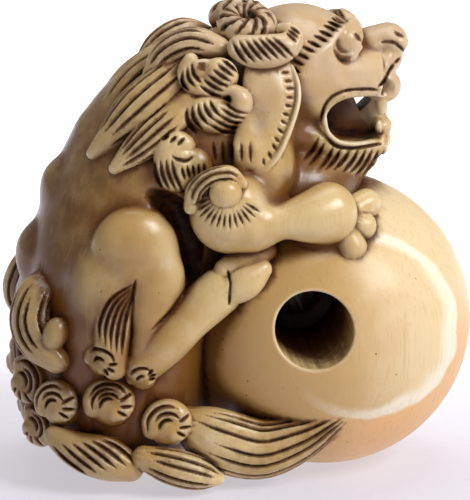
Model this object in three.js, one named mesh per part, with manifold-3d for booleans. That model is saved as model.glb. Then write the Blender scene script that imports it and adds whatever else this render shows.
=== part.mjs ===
// A netsuke, the toggle that held a pouch by its cord: a shishi, the lion of Japanese carving, sits behind
// a ball and holds it with its paws, all cut from one block of ivory. Its coat is worked as curls on the
// head and locks round the base, one long lock sweeps forward under the ball, and the cord runs in at a
// large hole in the front of the ball and out at a small one in the back.
//
// Millimetres. +X is the way the shishi faces, -Y is the side with the large cord hole, +Z is up, and the
// origin is on the standing surface, under the middle of the carving.
import * as THREE from "three";
import { mergeVertices } from "three/addons/utils/BufferGeometryUtils.js";
import Module from "manifold-3d";

const BALL_RADIUS = 12.1;
const BALL_CENTRE = [7.3, 0, 12];
const CORD_HOLE_RADIUS = 3.1; // takes the knot
const CORD_EXIT_RADIUS = 1.7; // passes the doubled cord only
const CORD_HOLE_DEPTH = 13;
const CORD_HOLE_OFFSET = [-2.1, 1.8]; // from the ball's centre, in X and Z
const TRIANGLES = 9400; // about what the carved form is drawn with
const OVERSHOOT = 6; // how far a cutting tool runs out of the work

const NEAR = -1; // the side of the large cord hole
const FAR = 1;

const IVORY = new THREE.MeshStandardMaterial({ color: 0xdcc195, roughness: 0.38, metalness: 0 });

const wasm = await Module();
wasm.setup();

// --- Forms -------------------------------------------------------------------------------------------

// The closed solid of a geometry, once its shared vertices are merged.
function solidOf(geometry) {
  const bare = new THREE.BufferGeometry().setAttribute("position", geometry.getAttribute("position"));
  if (geometry.index) bare.setIndex(geometry.index);
  const merged = mergeVertices(bare, 1e-4);
  return new wasm.Manifold(
    new wasm.Mesh({
      numProp: 3,
      vertProperties: new Float32Array(merged.getAttribute("position").array),
      triVerts: new Uint32Array(merged.index.array),
    }),
  );
}

// A ball stretched to three half sizes and turned by angles in degrees about X, Y and Z.
function ellipsoid(centre, halfSizes, { turn = [0, 0, 0], around = 14, down = 10 } = {}) {
  const geometry = new THREE.SphereGeometry(1, around, down);
  const euler = new THREE.Euler(...turn.map(THREE.MathUtils.degToRad));
  const matrix = new THREE.Matrix4().compose(
    new THREE.Vector3(...centre),
    new THREE.Quaternion().setFromEuler(euler),
    new THREE.Vector3(...halfSizes),
  );
  return solidOf(geometry.applyMatrix4(matrix));
}

const smoothThrough = (points) => new THREE.CatmullRomCurve3(points, false, "catmullrom");

// A rounded form drawn along a smooth line. Each station is [x, y, z, across, up]: a point of the line and
// the half sizes of the section there. `facing` is the way the section's up side looks. Flutes are ridges
// that run the form's length, cut to `depth` as a share of the section, and the ends are rounded off over
// `ends` times the section's height.
function sweep(stations, options = {}) {
  const { facing = [0, 0, 1], sides = 10, rings = 6, flutes = 0, depth = 0.16, ends = 1 } = options;
  const line = smoothThrough(stations.map(([x, y, z]) => new THREE.Vector3(x, y, z)));
  const sizes = smoothThrough(stations.map(([, , , across, up]) => new THREE.Vector3(across, up, 0)));
  const look = new THREE.Vector3(...facing);
  const corners = flutes ? 2 * flutes : sides;

  const ringAt = (t, along, share) => {
    const centre = line.getPoint(t);
    const tangent = line.getTangent(t);
    const size = sizes.getPoint(t);
    const up = look.clone().addScaledVector(tangent, -look.dot(tangent)).normalize();
    const across = new THREE.Vector3().crossVectors(up, tangent);
    centre.addScaledVector(tangent, along * size.y * ends);
    return Array.from({ length: corners }, (_, corner) => {
      const angle = (2 * Math.PI * corner) / corners;
      const ridge = flutes && corner % 2 ? 1 - depth : 1;
      return centre
        .clone()
        .addScaledVector(across, Math.cos(angle) * size.x * share * ridge)
        .addScaledVector(up, Math.sin(angle) * size.y * share * ridge);
    });
  };

  const caps = [65, 35].map(THREE.MathUtils.degToRad);
  const sections = [
    ...caps.map((a) => ringAt(0, -Math.sin(a), Math.cos(a))),
    ...Array.from({ length: rings + 1 }, (_, ring) => ringAt(ring / rings, 0, 1)),
    ...caps.toReversed().map((a) => ringAt(1, Math.sin(a), Math.cos(a))),
  ];
  const poles = [ringAt(0, -1, 0)[0], ringAt(1, 1, 0)[0]];
  const points = [...sections.flat(), ...poles];
  const start = points.length - 2;
  const end = points.length - 1;
  const lastRing = (sections.length - 1) * corners;
  const faces = [];
  for (let corner = 0; corner < corners; corner++) {
    const next = (corner + 1) % corners;
    faces.push(start, next, corner);
    faces.push(end, lastRing + corner, lastRing + next);
    for (let ring = 0; ring < lastRing; ring += corners) {
      faces.push(ring + corner, ring + next, ring + corners + next);
      faces.push(ring + corner, ring + corners + next, ring + corners + corner);
    }
  }
  const solid = solidOf(new THREE.BufferGeometry().setFromPoints(points).setIndex(faces));
  if (solid.volume() < 0) throw new Error("a sweep is inside out");
  return solid;
}

// A lock of hair wound into a bun: it swells from a thin start on the rim, winds `turns` times inwards while
// it rises along `facing`, and ends in a small round knob. `tall` stretches the bun upwards.
function curl(centre, facing, radius, { start = 0, turns = 1.25, winding = 1, thick = 0.54, tall = 1 } = {}) {
  const out = new THREE.Vector3(...facing).normalize();
  const hint = Math.abs(out.z) > 0.9 ? new THREE.Vector3(1, 0, 0) : new THREE.Vector3(0, 0, 1);
  const east = new THREE.Vector3().crossVectors(hint, out).normalize();
  const north = new THREE.Vector3().crossVectors(out, east);
  const steps = Math.round(turns * 8);
  const stations = Array.from({ length: steps + 1 }, (_, step) => {
    const share = step / steps;
    const angle = THREE.MathUtils.degToRad(start) + winding * turns * 2 * Math.PI * share;
    const reach = radius * (1 - thick) * (1 - 0.8 * share * share);
    const point = new THREE.Vector3(...centre)
      .addScaledVector(east, Math.cos(angle) * reach)
      .addScaledVector(north, Math.sin(angle) * reach * tall)
      .addScaledVector(out, radius * 0.45 * share * share);
    const half = radius * thick * (0.45 + 0.55 * Math.sin(Math.PI * Math.sqrt(share)));
    return [...point.toArray(), half, half];
  });
  return sweep(stations, { facing, sides: 9, rings: steps });
}

const join = (solids) => solids.reduce((whole, solid) => whole.add(solid));

// The squared distance to a triangle's plane, as the ten numbers of a symmetric matrix, weighed by its area.
function planeQuadric(a, b, c) {
  const normal = new THREE.Vector3().crossVectors(b.clone().sub(a), c.clone().sub(a));
  const area = normal.length() / 2;
  normal.normalize();
  const [x, y, z, w] = [normal.x, normal.y, normal.z, -normal.dot(a)];
  return [x * x, x * y, x * z, x * w, y * y, y * z, y * w, z * z, z * w, w * w].map((term) => term * area);
}

function quadricAt(q, { x, y, z }) {
  return (
    x * x * q[0] + 2 * x * y * q[1] + 2 * x * z * q[2] + 2 * x * q[3] + y * y * q[4] +
    2 * y * z * q[5] + 2 * y * q[6] + z * z * q[7] + 2 * z * q[8] + q[9]
  );
}

const SINGULAR = 1e-6; // a matrix with a smaller determinant isn't solved
const STRETCH_COST = 1e-5; // what keeps a merge near the middle of its edge on a flat face

// The point that strays least from the planes of both ends of an edge, and by how much it strays.
function bestMerge(q, a, b) {
  const middle = a.clone().lerp(b, 0.5);
  const matrix = new THREE.Matrix3().set(q[0], q[1], q[2], q[1], q[4], q[5], q[2], q[5], q[7]);
  const candidates = [a, b, middle];
  if (Math.abs(matrix.determinant()) > SINGULAR) {
    const solved = new THREE.Vector3(-q[3], -q[6], -q[8]).applyMatrix3(matrix.invert());
    if (solved.distanceTo(middle) < a.distanceTo(b)) candidates.push(solved);
  }
  return candidates
    .map((point) => ({ point, cost: quadricAt(q, point) + STRETCH_COST * point.distanceToSquared(middle) }))
    .reduce((best, next) => (next.cost < best.cost ? next : best));
}

const MOST_TURN = 0.3; // the cosine of the most that a merge may turn a triangle
const ROUND_SHARE = 1 / 8; // of the edges, the cheapest ones, are tried in each round

// The same closed form in about `wanted` triangles: edges are collapsed in rounds, those that change the
// form least first, and never one that would fold the surface or pinch it.
function thinned(solid, wanted) {
  const { vertProperties, triVerts } = solid.getMesh();
  const merged = mergeVertices(
    new THREE.BufferGeometry()
      .setAttribute("position", new THREE.BufferAttribute(vertProperties, 3))
      .setIndex(new THREE.BufferAttribute(triVerts, 1)),
    1e-4,
  );
  const position = merged.getAttribute("position");
  const pointAt = (_, i) => new THREE.Vector3().fromBufferAttribute(position, i);
  const points = Array.from({ length: position.count }, pointAt);
  const around = points.map(() => new Set()); // the triangles at each point
  const quadrics = points.map(() => new Array(10).fill(0));
  const triangles = new Set();
  for (let i = 0; i < merged.index.count; i += 3) {
    const triangle = [0, 1, 2].map((corner) => merged.index.getX(i + corner));
    if (new Set(triangle).size < 3) continue;
    triangles.add(triangle);
    const quadric = planeQuadric(...triangle.map((v) => points[v]));
    for (const v of triangle) {
      around[v].add(triangle);
      quadric.forEach((term, k) => (quadrics[v][k] += term));
    }
  }
  const neighbours = (v) => new Set([...around[v]].flat().filter((other) => other !== v));
  const normalOf = (corners) =>
    new THREE.Vector3().crossVectors(corners[1].clone().sub(corners[0]), corners[2].clone().sub(corners[0]));
  const folds = (kept, gone, point) =>
    [kept, gone].some((v) =>
      [...around[v]]
        .filter((triangle) => !(triangle.includes(kept) && triangle.includes(gone)))
        .some((triangle) => {
          const before = normalOf(triangle.map((corner) => points[corner]));
          const after = normalOf(triangle.map((corner) => (corner === v ? point : points[corner])));
          return before.dot(after) <= MOST_TURN * before.length() * after.length();
        }),
    );

  let stuck = false;
  while (triangles.size > wanted && !stuck) {
    const edges = [];
    for (const triangle of triangles) {
      triangle.forEach((a, corner) => {
        const b = triangle[(corner + 1) % 3];
        if (a > b) return;
        const quadric = quadrics[a].map((term, k) => term + quadrics[b][k]);
        edges.push({ a, b, quadric, ...bestMerge(quadric, points[a], points[b]) });
      });
    }
    edges.sort((one, other) => one.cost - other.cost);
    const touched = new Set();
    const before = triangles.size;
    for (const { a, b, quadric, point } of edges.slice(0, Math.ceil(edges.length * ROUND_SHARE))) {
      if (triangles.size <= wanted) break;
      if (touched.has(a) || touched.has(b)) continue;
      const ring = neighbours(b);
      const shared = [...neighbours(a)].filter((v) => ring.has(v));
      if (shared.length !== 2 || folds(a, b, point)) continue;
      for (const triangle of [...around[b]]) {
        if (triangle.includes(a)) {
          triangles.delete(triangle);
          for (const v of triangle) around[v].delete(triangle);
        } else {
          triangle[triangle.indexOf(b)] = a;
          around[a].add(triangle);
        }
      }
      points[a].copy(point);
      quadrics[a] = quadric;
      for (const v of [a, ...neighbours(a)]) touched.add(v);
    }
    stuck = triangles.size === before;
  }
  const corners = new Float32Array([...triangles].flat().flatMap((v) => points[v].toArray()));
  return solidOf(new THREE.BufferGeometry().setAttribute("position", new THREE.BufferAttribute(corners, 3)));
}

// --- The ball ----------------------------------------------------------------------------------------

function ball() {
  return ellipsoid(BALL_CENTRE, [BALL_RADIUS, BALL_RADIUS, BALL_RADIUS], { around: 40, down: 26 });
}

// The two holes of the cord channel, which meet inside the ball.
function cordChannel() {
  const x = BALL_CENTRE[0] + CORD_HOLE_OFFSET[0];
  const z = BALL_CENTRE[2] + CORD_HOLE_OFFSET[1];
  const tool = (radius, from, to, sides) => {
    const geometry = new THREE.CylinderGeometry(radius, radius, to - from, sides);
    return solidOf(geometry.translate(x, (from + to) / 2, z));
  };
  const mouth = BALL_CENTRE[1] - BALL_RADIUS;
  const back = BALL_CENTRE[1] + BALL_RADIUS;
  return tool(CORD_HOLE_RADIUS, mouth - OVERSHOOT, mouth + CORD_HOLE_DEPTH, 24).add(
    tool(CORD_EXIT_RADIUS, mouth + CORD_HOLE_DEPTH - 1, back + OVERSHOOT, 12),
  );
}

// --- The body ----------------------------------------------------------------------------------------

function torso() {
  const trunk = sweep(
    [
      [-9.4, 0, 3.4, 8.6, 6.8],
      [-9.4, 0, 13.0, 9.6, 8.2],
      [-8.2, 0, 20.0, 9.0, 7.9],
      [-4.6, 0, 26.8, 8.4, 7.6],
      [1.2, 0, 31.0, 7.0, 6.0],
    ],
    { facing: [-1, 0, 0.3], sides: 24, rings: 12, ends: 0.6 },
  );
  const chest = ellipsoid([4.4, 0, 23.6], [6.4, 7.0, 4.6]);
  return [trunk, chest];
}

// The knuckles of the spine, down the middle of the back.
function spine() {
  const knuckles = [
    [-11.6, 27.4, 1.4],
    [-14.2, 23.6, 1.7],
    [-16.2, 17.8, 1.8],
    [-16.9, 13.4, 1.8],
  ];
  const width = 2.3;
  const tall = 1.3;
  return knuckles.map(([x, z, size]) =>
    ellipsoid([x, 0, z], [size, width, tall * size], { around: 10, down: 8 }),
  );
}

// Folded up beside the belly, with the foot set against the ball.
function hindLeg(side) {
  const facing = [0, side, 0];
  const thigh = sweep(
    [
      [-10.8, side * 6.4, 13.4, 3.6, 3.4],
      [-9.8, side * 7.1, 17.6, 4.4, 3.8],
      [-8.5, side * 7.9, 21.2, 2.6, 2.5],
    ],
    { facing, sides: 16, rings: 6, ends: 0.9 },
  );
  const shank = sweep(
    [
      [-7.2, side * 8.3, 21.0, 1.9, 2.2],
      [-6.8, side * 8.9, 17.2, 2.0, 2.3],
      [-8.0, side * 9.3, 12.6, 1.2, 1.9],
    ],
    { facing, sides: 12, rings: 6 },
  );
  const foot = sweep(
    [
      [-8.6, side * 9.3, 10.4, 1.9, 1.9],
      [-6.2, side * 9.4, 13.0, 1.9, 2.0],
      [-3.8, side * 9.2, 15.6, 1.8, 2.0],
      [-1.9, side * 9.0, 17.1, 1.9, 2.0],
    ],
    { facing, sides: 12, rings: 7 },
  );
  const toes = [
    [-1.0, 9.9, 16.6, 1.2],
    [-0.6, 8.7, 18.6, 1.0],
    [-1.0, 7.2, 20.0, 1.0],
  ].map(([x, y, z, size]) =>
    sweep(
      [
        [x, side * y, z, size, size],
        [x + 1.8, side * (y - 0.2), z + 1.0, 0.8 * size, 0.8 * size],
      ],
      { facing, sides: 9, rings: 2 },
    ),
  );
  return [thigh, shank, foot, ...toes];
}

// Bent at the elbow, with the forearm laid over the top of the ball.
function foreleg(side) {
  const facing = [0, side, 0];
  const upper = sweep(
    [
      [1.4, side * 5.2, 28.4, 3.0, 2.6],
      [1.2, side * 6.4, 26.0, 3.3, 2.8],
      [0.4, side * 7.4, 24.2, 3.2, 2.8],
    ],
    { facing, sides: 14, rings: 5 },
  );
  const elbow = ellipsoid([-0.9, side * 8.6, 23.0], [3.5, 3.0, 3.5], { around: 18, down: 12 });
  const forearm = sweep(
    [
      [1.0, side * 9.3, 22.0, 2.2, 2.2],
      [3.4, side * 9.3, 22.2, 1.6, 2.0],
      [5.8, side * 9.0, 22.8, 1.9, 2.1],
      [7.8, side * 8.5, 23.1, 2.2, 2.2],
    ],
    { facing, sides: 12, rings: 8, ends: 0.6 },
  );
  const wrist = new THREE.Vector3(8.0, side * 8.3, 22.7);
  const toes = [
    [9.8, 5.7, 24.2],
    [10.2, 7.1, 23.1],
    [10.0, 8.3, 21.6],
    [9.1, 9.2, 20.2],
  ].map(([x, y, z]) => {
    const tip = new THREE.Vector3(x, side * y, z);
    const root = wrist.clone().lerp(tip, 0.5);
    const stations = [root, tip].map((point) => [...point.toArray(), 1.2, 1.3]);
    return sweep(stations, { facing: [0.3, side, 0.5], sides: 10, rings: 2 });
  });
  return [upper, elbow, forearm, ...toes];
}

// The coat curls round the outside of the elbow to end in a small knob.
function elbowCurl(side) {
  const knob = ellipsoid([-1.9, side * 11.0, 25.2], [1.3, 1.0, 1.15], { around: 12, down: 8 });
  const band = sweep(
    [
      [-4.6, side * 9.2, 23.0, 0.7, 0.7],
      [-4.0, side * 10.2, 25.4, 1.0, 0.9],
      [-2.2, side * 10.8, 26.9, 0.9, 0.9],
      [-0.7, side * 10.8, 26.3, 0.5, 0.6],
    ],
    { facing: [0, side, 0.3], sides: 8, rings: 7 },
  );
  return [knob, band];
}

// --- The head ----------------------------------------------------------------------------------------

function head() {
  const skull = ellipsoid([5.2, 0, 33.5], [5.3, 6.3, 5.1], { around: 24, down: 16 });
  const muzzle = sweep(
    [
      [7.4, 0, 33.4, 5.2, 3.0],
      [10.4, 0, 33.7, 4.3, 2.6],
      [12.5, 0, 33.5, 3.0, 2.2],
    ],
    { facing: [0, 0, 1], sides: 16, rings: 6, ends: 0.5 },
  );
  const nose = ellipsoid([12.9, 0, 35.8], [1.4, 1.9, 1.3], { around: 14, down: 10 });
  const jaw = sweep(
    [
      [5.0, 0, 28.0, 5.3, 2.4],
      [9.4, 0, 27.0, 4.6, 1.6],
      [12.1, 0, 27.6, 3.0, 1.3],
    ],
    { facing: [-0.2, 0, 1], sides: 16, rings: 6, ends: 0.6 },
  );
  const beard = sweep(
    [
      [9.8, 0, 26.8, 4.2, 2.6],
      [7.8, 0, 24.8, 5.0, 3.6],
      [5.6, 0, 22.8, 5.0, 3.6],
    ],
    { facing: [0.7, 0, -0.7], flutes: 16, depth: 0.07, rings: 3, ends: 0.4 },
  );
  return [skull, muzzle, nose, jaw, beard];
}

function face(side) {
  const brow = sweep(
    [
      [4.8, side * 6.3, 34.4, 0.7, 0.8],
      [6.2, side * 5.5, 36.2, 0.9, 0.9],
      [8.2, side * 4.0, 37.4, 1.0, 1.0],
      [9.6, side * 2.4, 37.6, 0.9, 0.9],
      [10.3, side * 0.9, 37.0, 0.7, 0.7],
    ],
    { facing: [0.4, side * 0.5, 0.7], sides: 8, rings: 8 },
  );
  const eye = ellipsoid([9.1, side * 3.4, 36.0], [1.4, 1.4, 1.4], { around: 12, down: 8 });
  const wing = ellipsoid([12.8, side * 1.5, 34.9], [1.2, 0.9, 0.8], { around: 10, down: 8 });
  const cheek = sweep(
    [
      [7.2, side * 5.2, 35.2, 0.7, 0.7],
      [7.2, side * 5.3, 33.6, 0.9, 0.8],
      [8.2, side * 4.9, 32.2, 0.7, 0.6],
    ],
    { facing: [0, side, 0], sides: 8, rings: 5 },
  );
  const ear = sweep(
    [
      [3.8, side * 6.2, 35.2, 1.2, 0.8],
      [2.7, side * 7.9, 33.2, 2.1, 0.9],
      [2.1, side * 8.8, 30.6, 2.2, 0.9],
      [1.5, side * 9.1, 28.4, 1.9, 0.9],
      [1.1, side * 8.9, 27.0, 1.0, 0.7],
    ],
    { facing: [0.1, side, 0.15], sides: 12, rings: 9 },
  );
  return [brow, eye, wing, cheek, ear];
}

// The rounded rim that runs from each corner of the mouth along the lip to the front.
function lips(side) {
  const facing = [0.3, side, 0];
  const upper = sweep(
    [
      [6.8, side * 4.6, 29.8, 0.5, 0.5],
      [7.3, side * 4.6, 31.2, 0.5, 0.5],
      [9.3, side * 4.2, 32.0, 0.5, 0.5],
      [11.6, side * 3.2, 31.7, 0.6, 0.6],
      [13.2, side * 1.5, 31.2, 0.7, 0.7],
      [13.5, 0, 31.1, 0.7, 0.7],
    ],
    { facing, sides: 7, rings: 10 },
  );
  const lower = sweep(
    [
      [6.8, side * 4.6, 29.8, 0.5, 0.5],
      [7.8, side * 4.5, 28.4, 0.5, 0.5],
      [10.2, side * 3.9, 28.0, 0.5, 0.5],
      [12.2, side * 2.4, 28.3, 0.6, 0.6],
      [13.2, side * 1.0, 28.4, 0.7, 0.7],
    ],
    { facing, sides: 7, rings: 9 },
  );
  return [upper, lower];
}

// The open mouth, which is carved right through between the jaws.
function mouthOpening() {
  const reach = 9;
  const outline = new THREE.Shape();
  outline.moveTo(15.5, 30.6);
  outline.bezierCurveTo(13.5, 30.7, 11.5, 31.8, 9.6, 31.7);
  outline.bezierCurveTo(6.4, 31.5, 6.4, 28.9, 8.8, 28.7);
  outline.bezierCurveTo(11.0, 28.5, 12.5, 29.2, 15.5, 29.2);
  const options = { depth: 2 * reach, bevelEnabled: false, curveSegments: 8 };
  const geometry = new THREE.ExtrudeGeometry(outline, options);
  const upright = new THREE.Matrix4().makeBasis(
    new THREE.Vector3(1, 0, 0),
    new THREE.Vector3(0, 0, 1),
    new THREE.Vector3(0, -1, 0),
  );
  return solidOf(geometry.applyMatrix4(upright).translate(0, reach, 0));
}

// What stands in the mouth: the tongue, two upper fangs and two lower ones.
function mouthParts() {
  const tongue = sweep(
    [
      [6.0, 0, 28.8, 3.0, 1.2],
      [8.4, 0, 29.4, 2.6, 1.2],
      [10.6, 0, 29.0, 1.8, 0.7],
    ],
    { facing: [0, 0, 1], sides: 10, rings: 4 },
  );
  const fang = (from, to) =>
    sweep([[...from, 0.6, 0.6], [...to, 0.45, 0.45]], { facing: [1, 0, 0], sides: 7, rings: 1 });
  const fangs = [NEAR, FAR].flatMap((side) => [
    fang([12.2, side * 2.2, 31.2], [12.0, side * 2.2, 29.8]),
    fang([12.6, side * 1.2, 28.2], [12.6, side * 1.2, 29.4]),
  ]);
  return [tongue, ...fangs];
}

// --- The coat ----------------------------------------------------------------------------------------

function mane(side) {
  const curls = [
    curl([0.3, side * 3.0, 36.7], [-0.1, side * 0.6, 0.8], 2.7, { start: 250, winding: side, turns: 1.3 }),
    curl([2.5, side * 5.2, 35.7], [0.2, side * 0.85, 0.5], 2.2, { start: 160, winding: -side }),
    curl([-2.8, side * 6.6, 33.9], [-0.2, side * 0.85, 0.4], 2.6, { start: 20, winding: side }),
    curl([-2.1, side * 8.1, 31.1], [-0.1, side, 0.1], 2.5, { start: 100, winding: side }),
    curl([-5.3, side * 8.3, 27.1], [-0.3, side, 0], 2.4, { start: 60, winding: side, tall: 1.4 }),
  ];
  // The straight locks that stream down the shoulder, from the spine outwards.
  const locks = [
    [
      [-1.6, side * 2.4, 36.6, 1.6, 1.5],
      [-4.4, side * 3.2, 35.6, 2.0, 1.6],
      [-7.0, side * 3.8, 33.2, 1.0, 0.9],
    ],
    [
      [-4.2, side * 1.8, 34.8, 1.7, 1.3],
      [-8.2, side * 2.2, 32.0, 2.0, 1.4],
      [-11.6, side * 2.0, 28.0, 0.6, 0.6],
    ],
    [
      [-4.2, side * 4.6, 34.0, 1.8, 1.4],
      [-8.2, side * 5.6, 31.0, 2.1, 1.5],
      [-12.0, side * 5.4, 27.4, 0.5, 0.5],
    ],
    [
      [-4.4, side * 6.6, 31.4, 1.5, 1.3],
      [-7.6, side * 7.4, 29.0, 1.6, 1.2],
      [-10.4, side * 7.4, 26.6, 0.5, 0.5],
    ],
  ].map((stations) => sweep(stations, { facing: [-0.5, side * 0.7, 0.5], flutes: 6, rings: 6 }));
  return [...curls, ...locks];
}

// The locks of the haunches, which lie round the base.
function skirt(side) {
  const curls = [
    curl([-12.0, side * 9.5, 10.6], [-0.3, side, 0], 1.6, { start: 0, winding: -side, turns: 1 }),
    curl([-8.8, side * 10.0, 9.0], [0, side, 0], 1.5, { start: 90, winding: side, turns: 1 }),
    curl([-15.2, side * 7.0, 7.1], [-0.5, side * 0.85, 0.1], 2.5, { start: 110, winding: side }),
    curl([-11.2, side * 9.2, 6.9], [-0.2, side, 0.1], 2.5, { start: 130, winding: -side }),
    curl([-6.9, side * 10.2, 5.4], [0, side, 0.1], 2.3, { start: 150, winding: -side }),
  ];
  const locks = [
    [
      [-16.0, side * 5.6, 4.4, 1.4, 1.5],
      [-12.8, side * 8.0, 2.4, 2.2, 1.9],
      [-9.2, side * 9.0, 1.5, 1.2, 1.3],
    ],
    [
      [-9.2, side * 9.6, 3.1, 1.4, 1.4],
      [-6.0, side * 10.4, 1.9, 1.9, 1.7],
      [-3.0, side * 10.0, 1.2, 0.9, 1.1],
    ],
    // Down from behind the knee.
    [
      [-9.2, side * 9.4, 18.2, 0.5, 0.5],
      [-11.0, side * 9.5, 16.4, 1.3, 1.2],
      [-11.9, side * 9.6, 13.6, 1.5, 1.4],
      [-11.2, side * 9.8, 11.2, 0.9, 0.9],
    ],
  ].map((stations) => sweep(stations, { facing: [-0.2, side, 0], flutes: 6, rings: 6 }));
  // The long lock that sweeps forward under the ball, and climbs it.
  const flame = sweep(
    [
      [-5.2, side * 8.6, 6.4, 1.9, 1.8],
      [-1.8, side * 8.4, 4.0, 2.8, 2.2],
      [2.0, side * 8.6, 3.2, 2.6, 2.0],
      [5.6, side * 9.2, 4.9, 1.5, 1.3],
      [9.2, side * 10.5, 7.3, 0.4, 0.5],
    ],
    { facing: [0, side, -0.4], flutes: 7, rings: 10 },
  );
  return [...curls, ...locks, flame];
}

// The tail is turned up against the back and ends in tufts, the outer ones with a bare tip.
function tail() {
  const tuft = (side) => [
    sweep(
      [
        [-16.6, side * 4.2, 17.8, 0.6, 0.6],
        [-17.3, side * 5.2, 14.8, 1.8, 1.3],
        [-16.8, side * 6.8, 11.6, 1.8, 1.4],
        [-15.4, side * 7.9, 11.0, 0.9, 0.9],
      ],
      { facing: [-0.7, side * 0.7, 0], flutes: 6, rings: 7 },
    ),
    ellipsoid([-15.7, side * 8.0, 12.7], [1.0, 1.0, 1.2], { around: 10, down: 8 }),
    curl([-17.2, side * 3.0, 8.0], [-1, side * 0.3, 0], 2.2, { start: 60, winding: side }),
    curl([-16.4, side * 3.2, 4.4], [-1, side * 0.3, -0.1], 2.3, { start: 300, winding: -side }),
  ];
  const middle = sweep(
    [
      [-16.4, 0, 17.6, 1.5, 1.0],
      [-17.2, 0, 13.6, 2.2, 1.3],
      [-17.2, 0, 9.0, 1.7, 1.3],
      [-16.4, 0, 4.6, 1.6, 1.3],
    ],
    { facing: [-1, 0, 0], flutes: 6, rings: 6 },
  );
  return [...tuft(NEAR), ...tuft(FAR), middle];
}

// --- The carving -------------------------------------------------------------------------------------

// Everything below the standing surface, which is worn flat.
function underside() {
  const wide = 60;
  return solidOf(new THREE.BoxGeometry(wide, wide, wide).translate(0, 0, -wide / 2));
}

const sided = (side) => [
  ...hindLeg(side),
  ...foreleg(side),
  ...elbowCurl(side),
  ...face(side),
  ...mane(side),
  ...skirt(side),
];
const animal = join([...torso(), ...spine(), ...head(), ...tail(), ...sided(NEAR), ...sided(FAR)]);
const mouth = join([...mouthParts(), ...lips(NEAR), ...lips(FAR)]);
const carving = animal.subtract(mouthOpening()).add(mouth).add(ball());
const finished = thinned(carving, TRIANGLES).subtract(cordChannel()).subtract(underside()).getMesh();

const geometry = new THREE.BufferGeometry()
  .setAttribute("position", new THREE.BufferAttribute(finished.vertProperties, finished.numProp))
  .setIndex(new THREE.BufferAttribute(finished.triVerts, 1));
geometry.computeVertexNormals();

const netsuke = new THREE.Group();
const body = new THREE.Mesh(geometry, IVORY);
body.name = "shishi_and_ball";
netsuke.add(body);

export default netsuke;
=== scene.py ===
import math

import bpy
import numpy as np
import openvdb
from mathutils import Matrix, Vector


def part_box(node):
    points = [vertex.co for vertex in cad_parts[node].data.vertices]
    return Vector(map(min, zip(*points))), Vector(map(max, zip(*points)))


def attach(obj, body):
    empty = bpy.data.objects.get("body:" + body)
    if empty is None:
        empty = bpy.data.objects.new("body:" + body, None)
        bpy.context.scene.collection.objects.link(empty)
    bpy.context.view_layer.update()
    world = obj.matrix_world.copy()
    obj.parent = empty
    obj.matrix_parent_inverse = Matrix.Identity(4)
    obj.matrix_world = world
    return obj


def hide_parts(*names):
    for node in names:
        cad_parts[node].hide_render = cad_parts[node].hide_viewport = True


# A netsuke: a shishi that sits behind a ball and holds it, cut from one block of old ivory. The carving is
# sculpted here as signed distances on a grid, form by form and stroke by stroke, as a carver works down from
# the mass to the hair, and its surface is then taken as one closed mesh.
#
# Sculpting is done in millimetres, in the CAD part's frame: +X is the way the shishi faces, -Y is the side
# with the wide cord hole, +Z is up, and the origin is on the standing surface.

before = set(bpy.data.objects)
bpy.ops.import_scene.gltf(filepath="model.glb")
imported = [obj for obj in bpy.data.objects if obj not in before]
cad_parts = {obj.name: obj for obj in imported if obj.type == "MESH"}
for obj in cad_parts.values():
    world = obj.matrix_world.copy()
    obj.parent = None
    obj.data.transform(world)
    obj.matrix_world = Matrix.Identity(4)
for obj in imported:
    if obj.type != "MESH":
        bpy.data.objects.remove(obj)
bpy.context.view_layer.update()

MM = 0.001
NEAR, FAR = -1, 1  # the two sides of the animal, as the sign of y
UP = np.array((0.0, 0.0, 1.0))

part_low, part_high = (np.array(corner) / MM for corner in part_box("shishi_and_ball"))
BALL_RADIUS = part_high[1]
BALL_FLAT = 1.55  # the radius of the worn spot that the ball stands on
BALL_CENTRE = np.array((part_high[0] - BALL_RADIUS, 0, math.sqrt(BALL_RADIUS**2 - BALL_FLAT**2)))
CORD_HOLE = {"radius": 3.1, "depth": 13.0, "x": BALL_CENTRE[0] - 2.1, "z": BALL_CENTRE[2] + 1.8}
CORD_EXIT_RADIUS = 1.7

COARSE_STEP = 0.3  # the grid that the flesh is roughed out on
FINE_STEP = 0.11  # the grid that it is finished on
MOST_TRIANGLES = 190_000
BIG = 9.0  # the distance held where nothing has been carved
THINNEST = 0.05  # the least half size of a swept form
STAIN_AND_SHADE_REACH = 0.1  # how far the stain of a hollow, and the painted shade of a deep one, go into its walls
CLEAN = -1.0  # a stain tone below zero keeps a polished knob or a tooth pale
BOLD = {"width": 0.23, "depth": 0.32}  # the strokes of the big locks
SLIM = {"width": 0.2, "depth": 0.28}  # and of the small ones


# --- Sculpting ---


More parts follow.
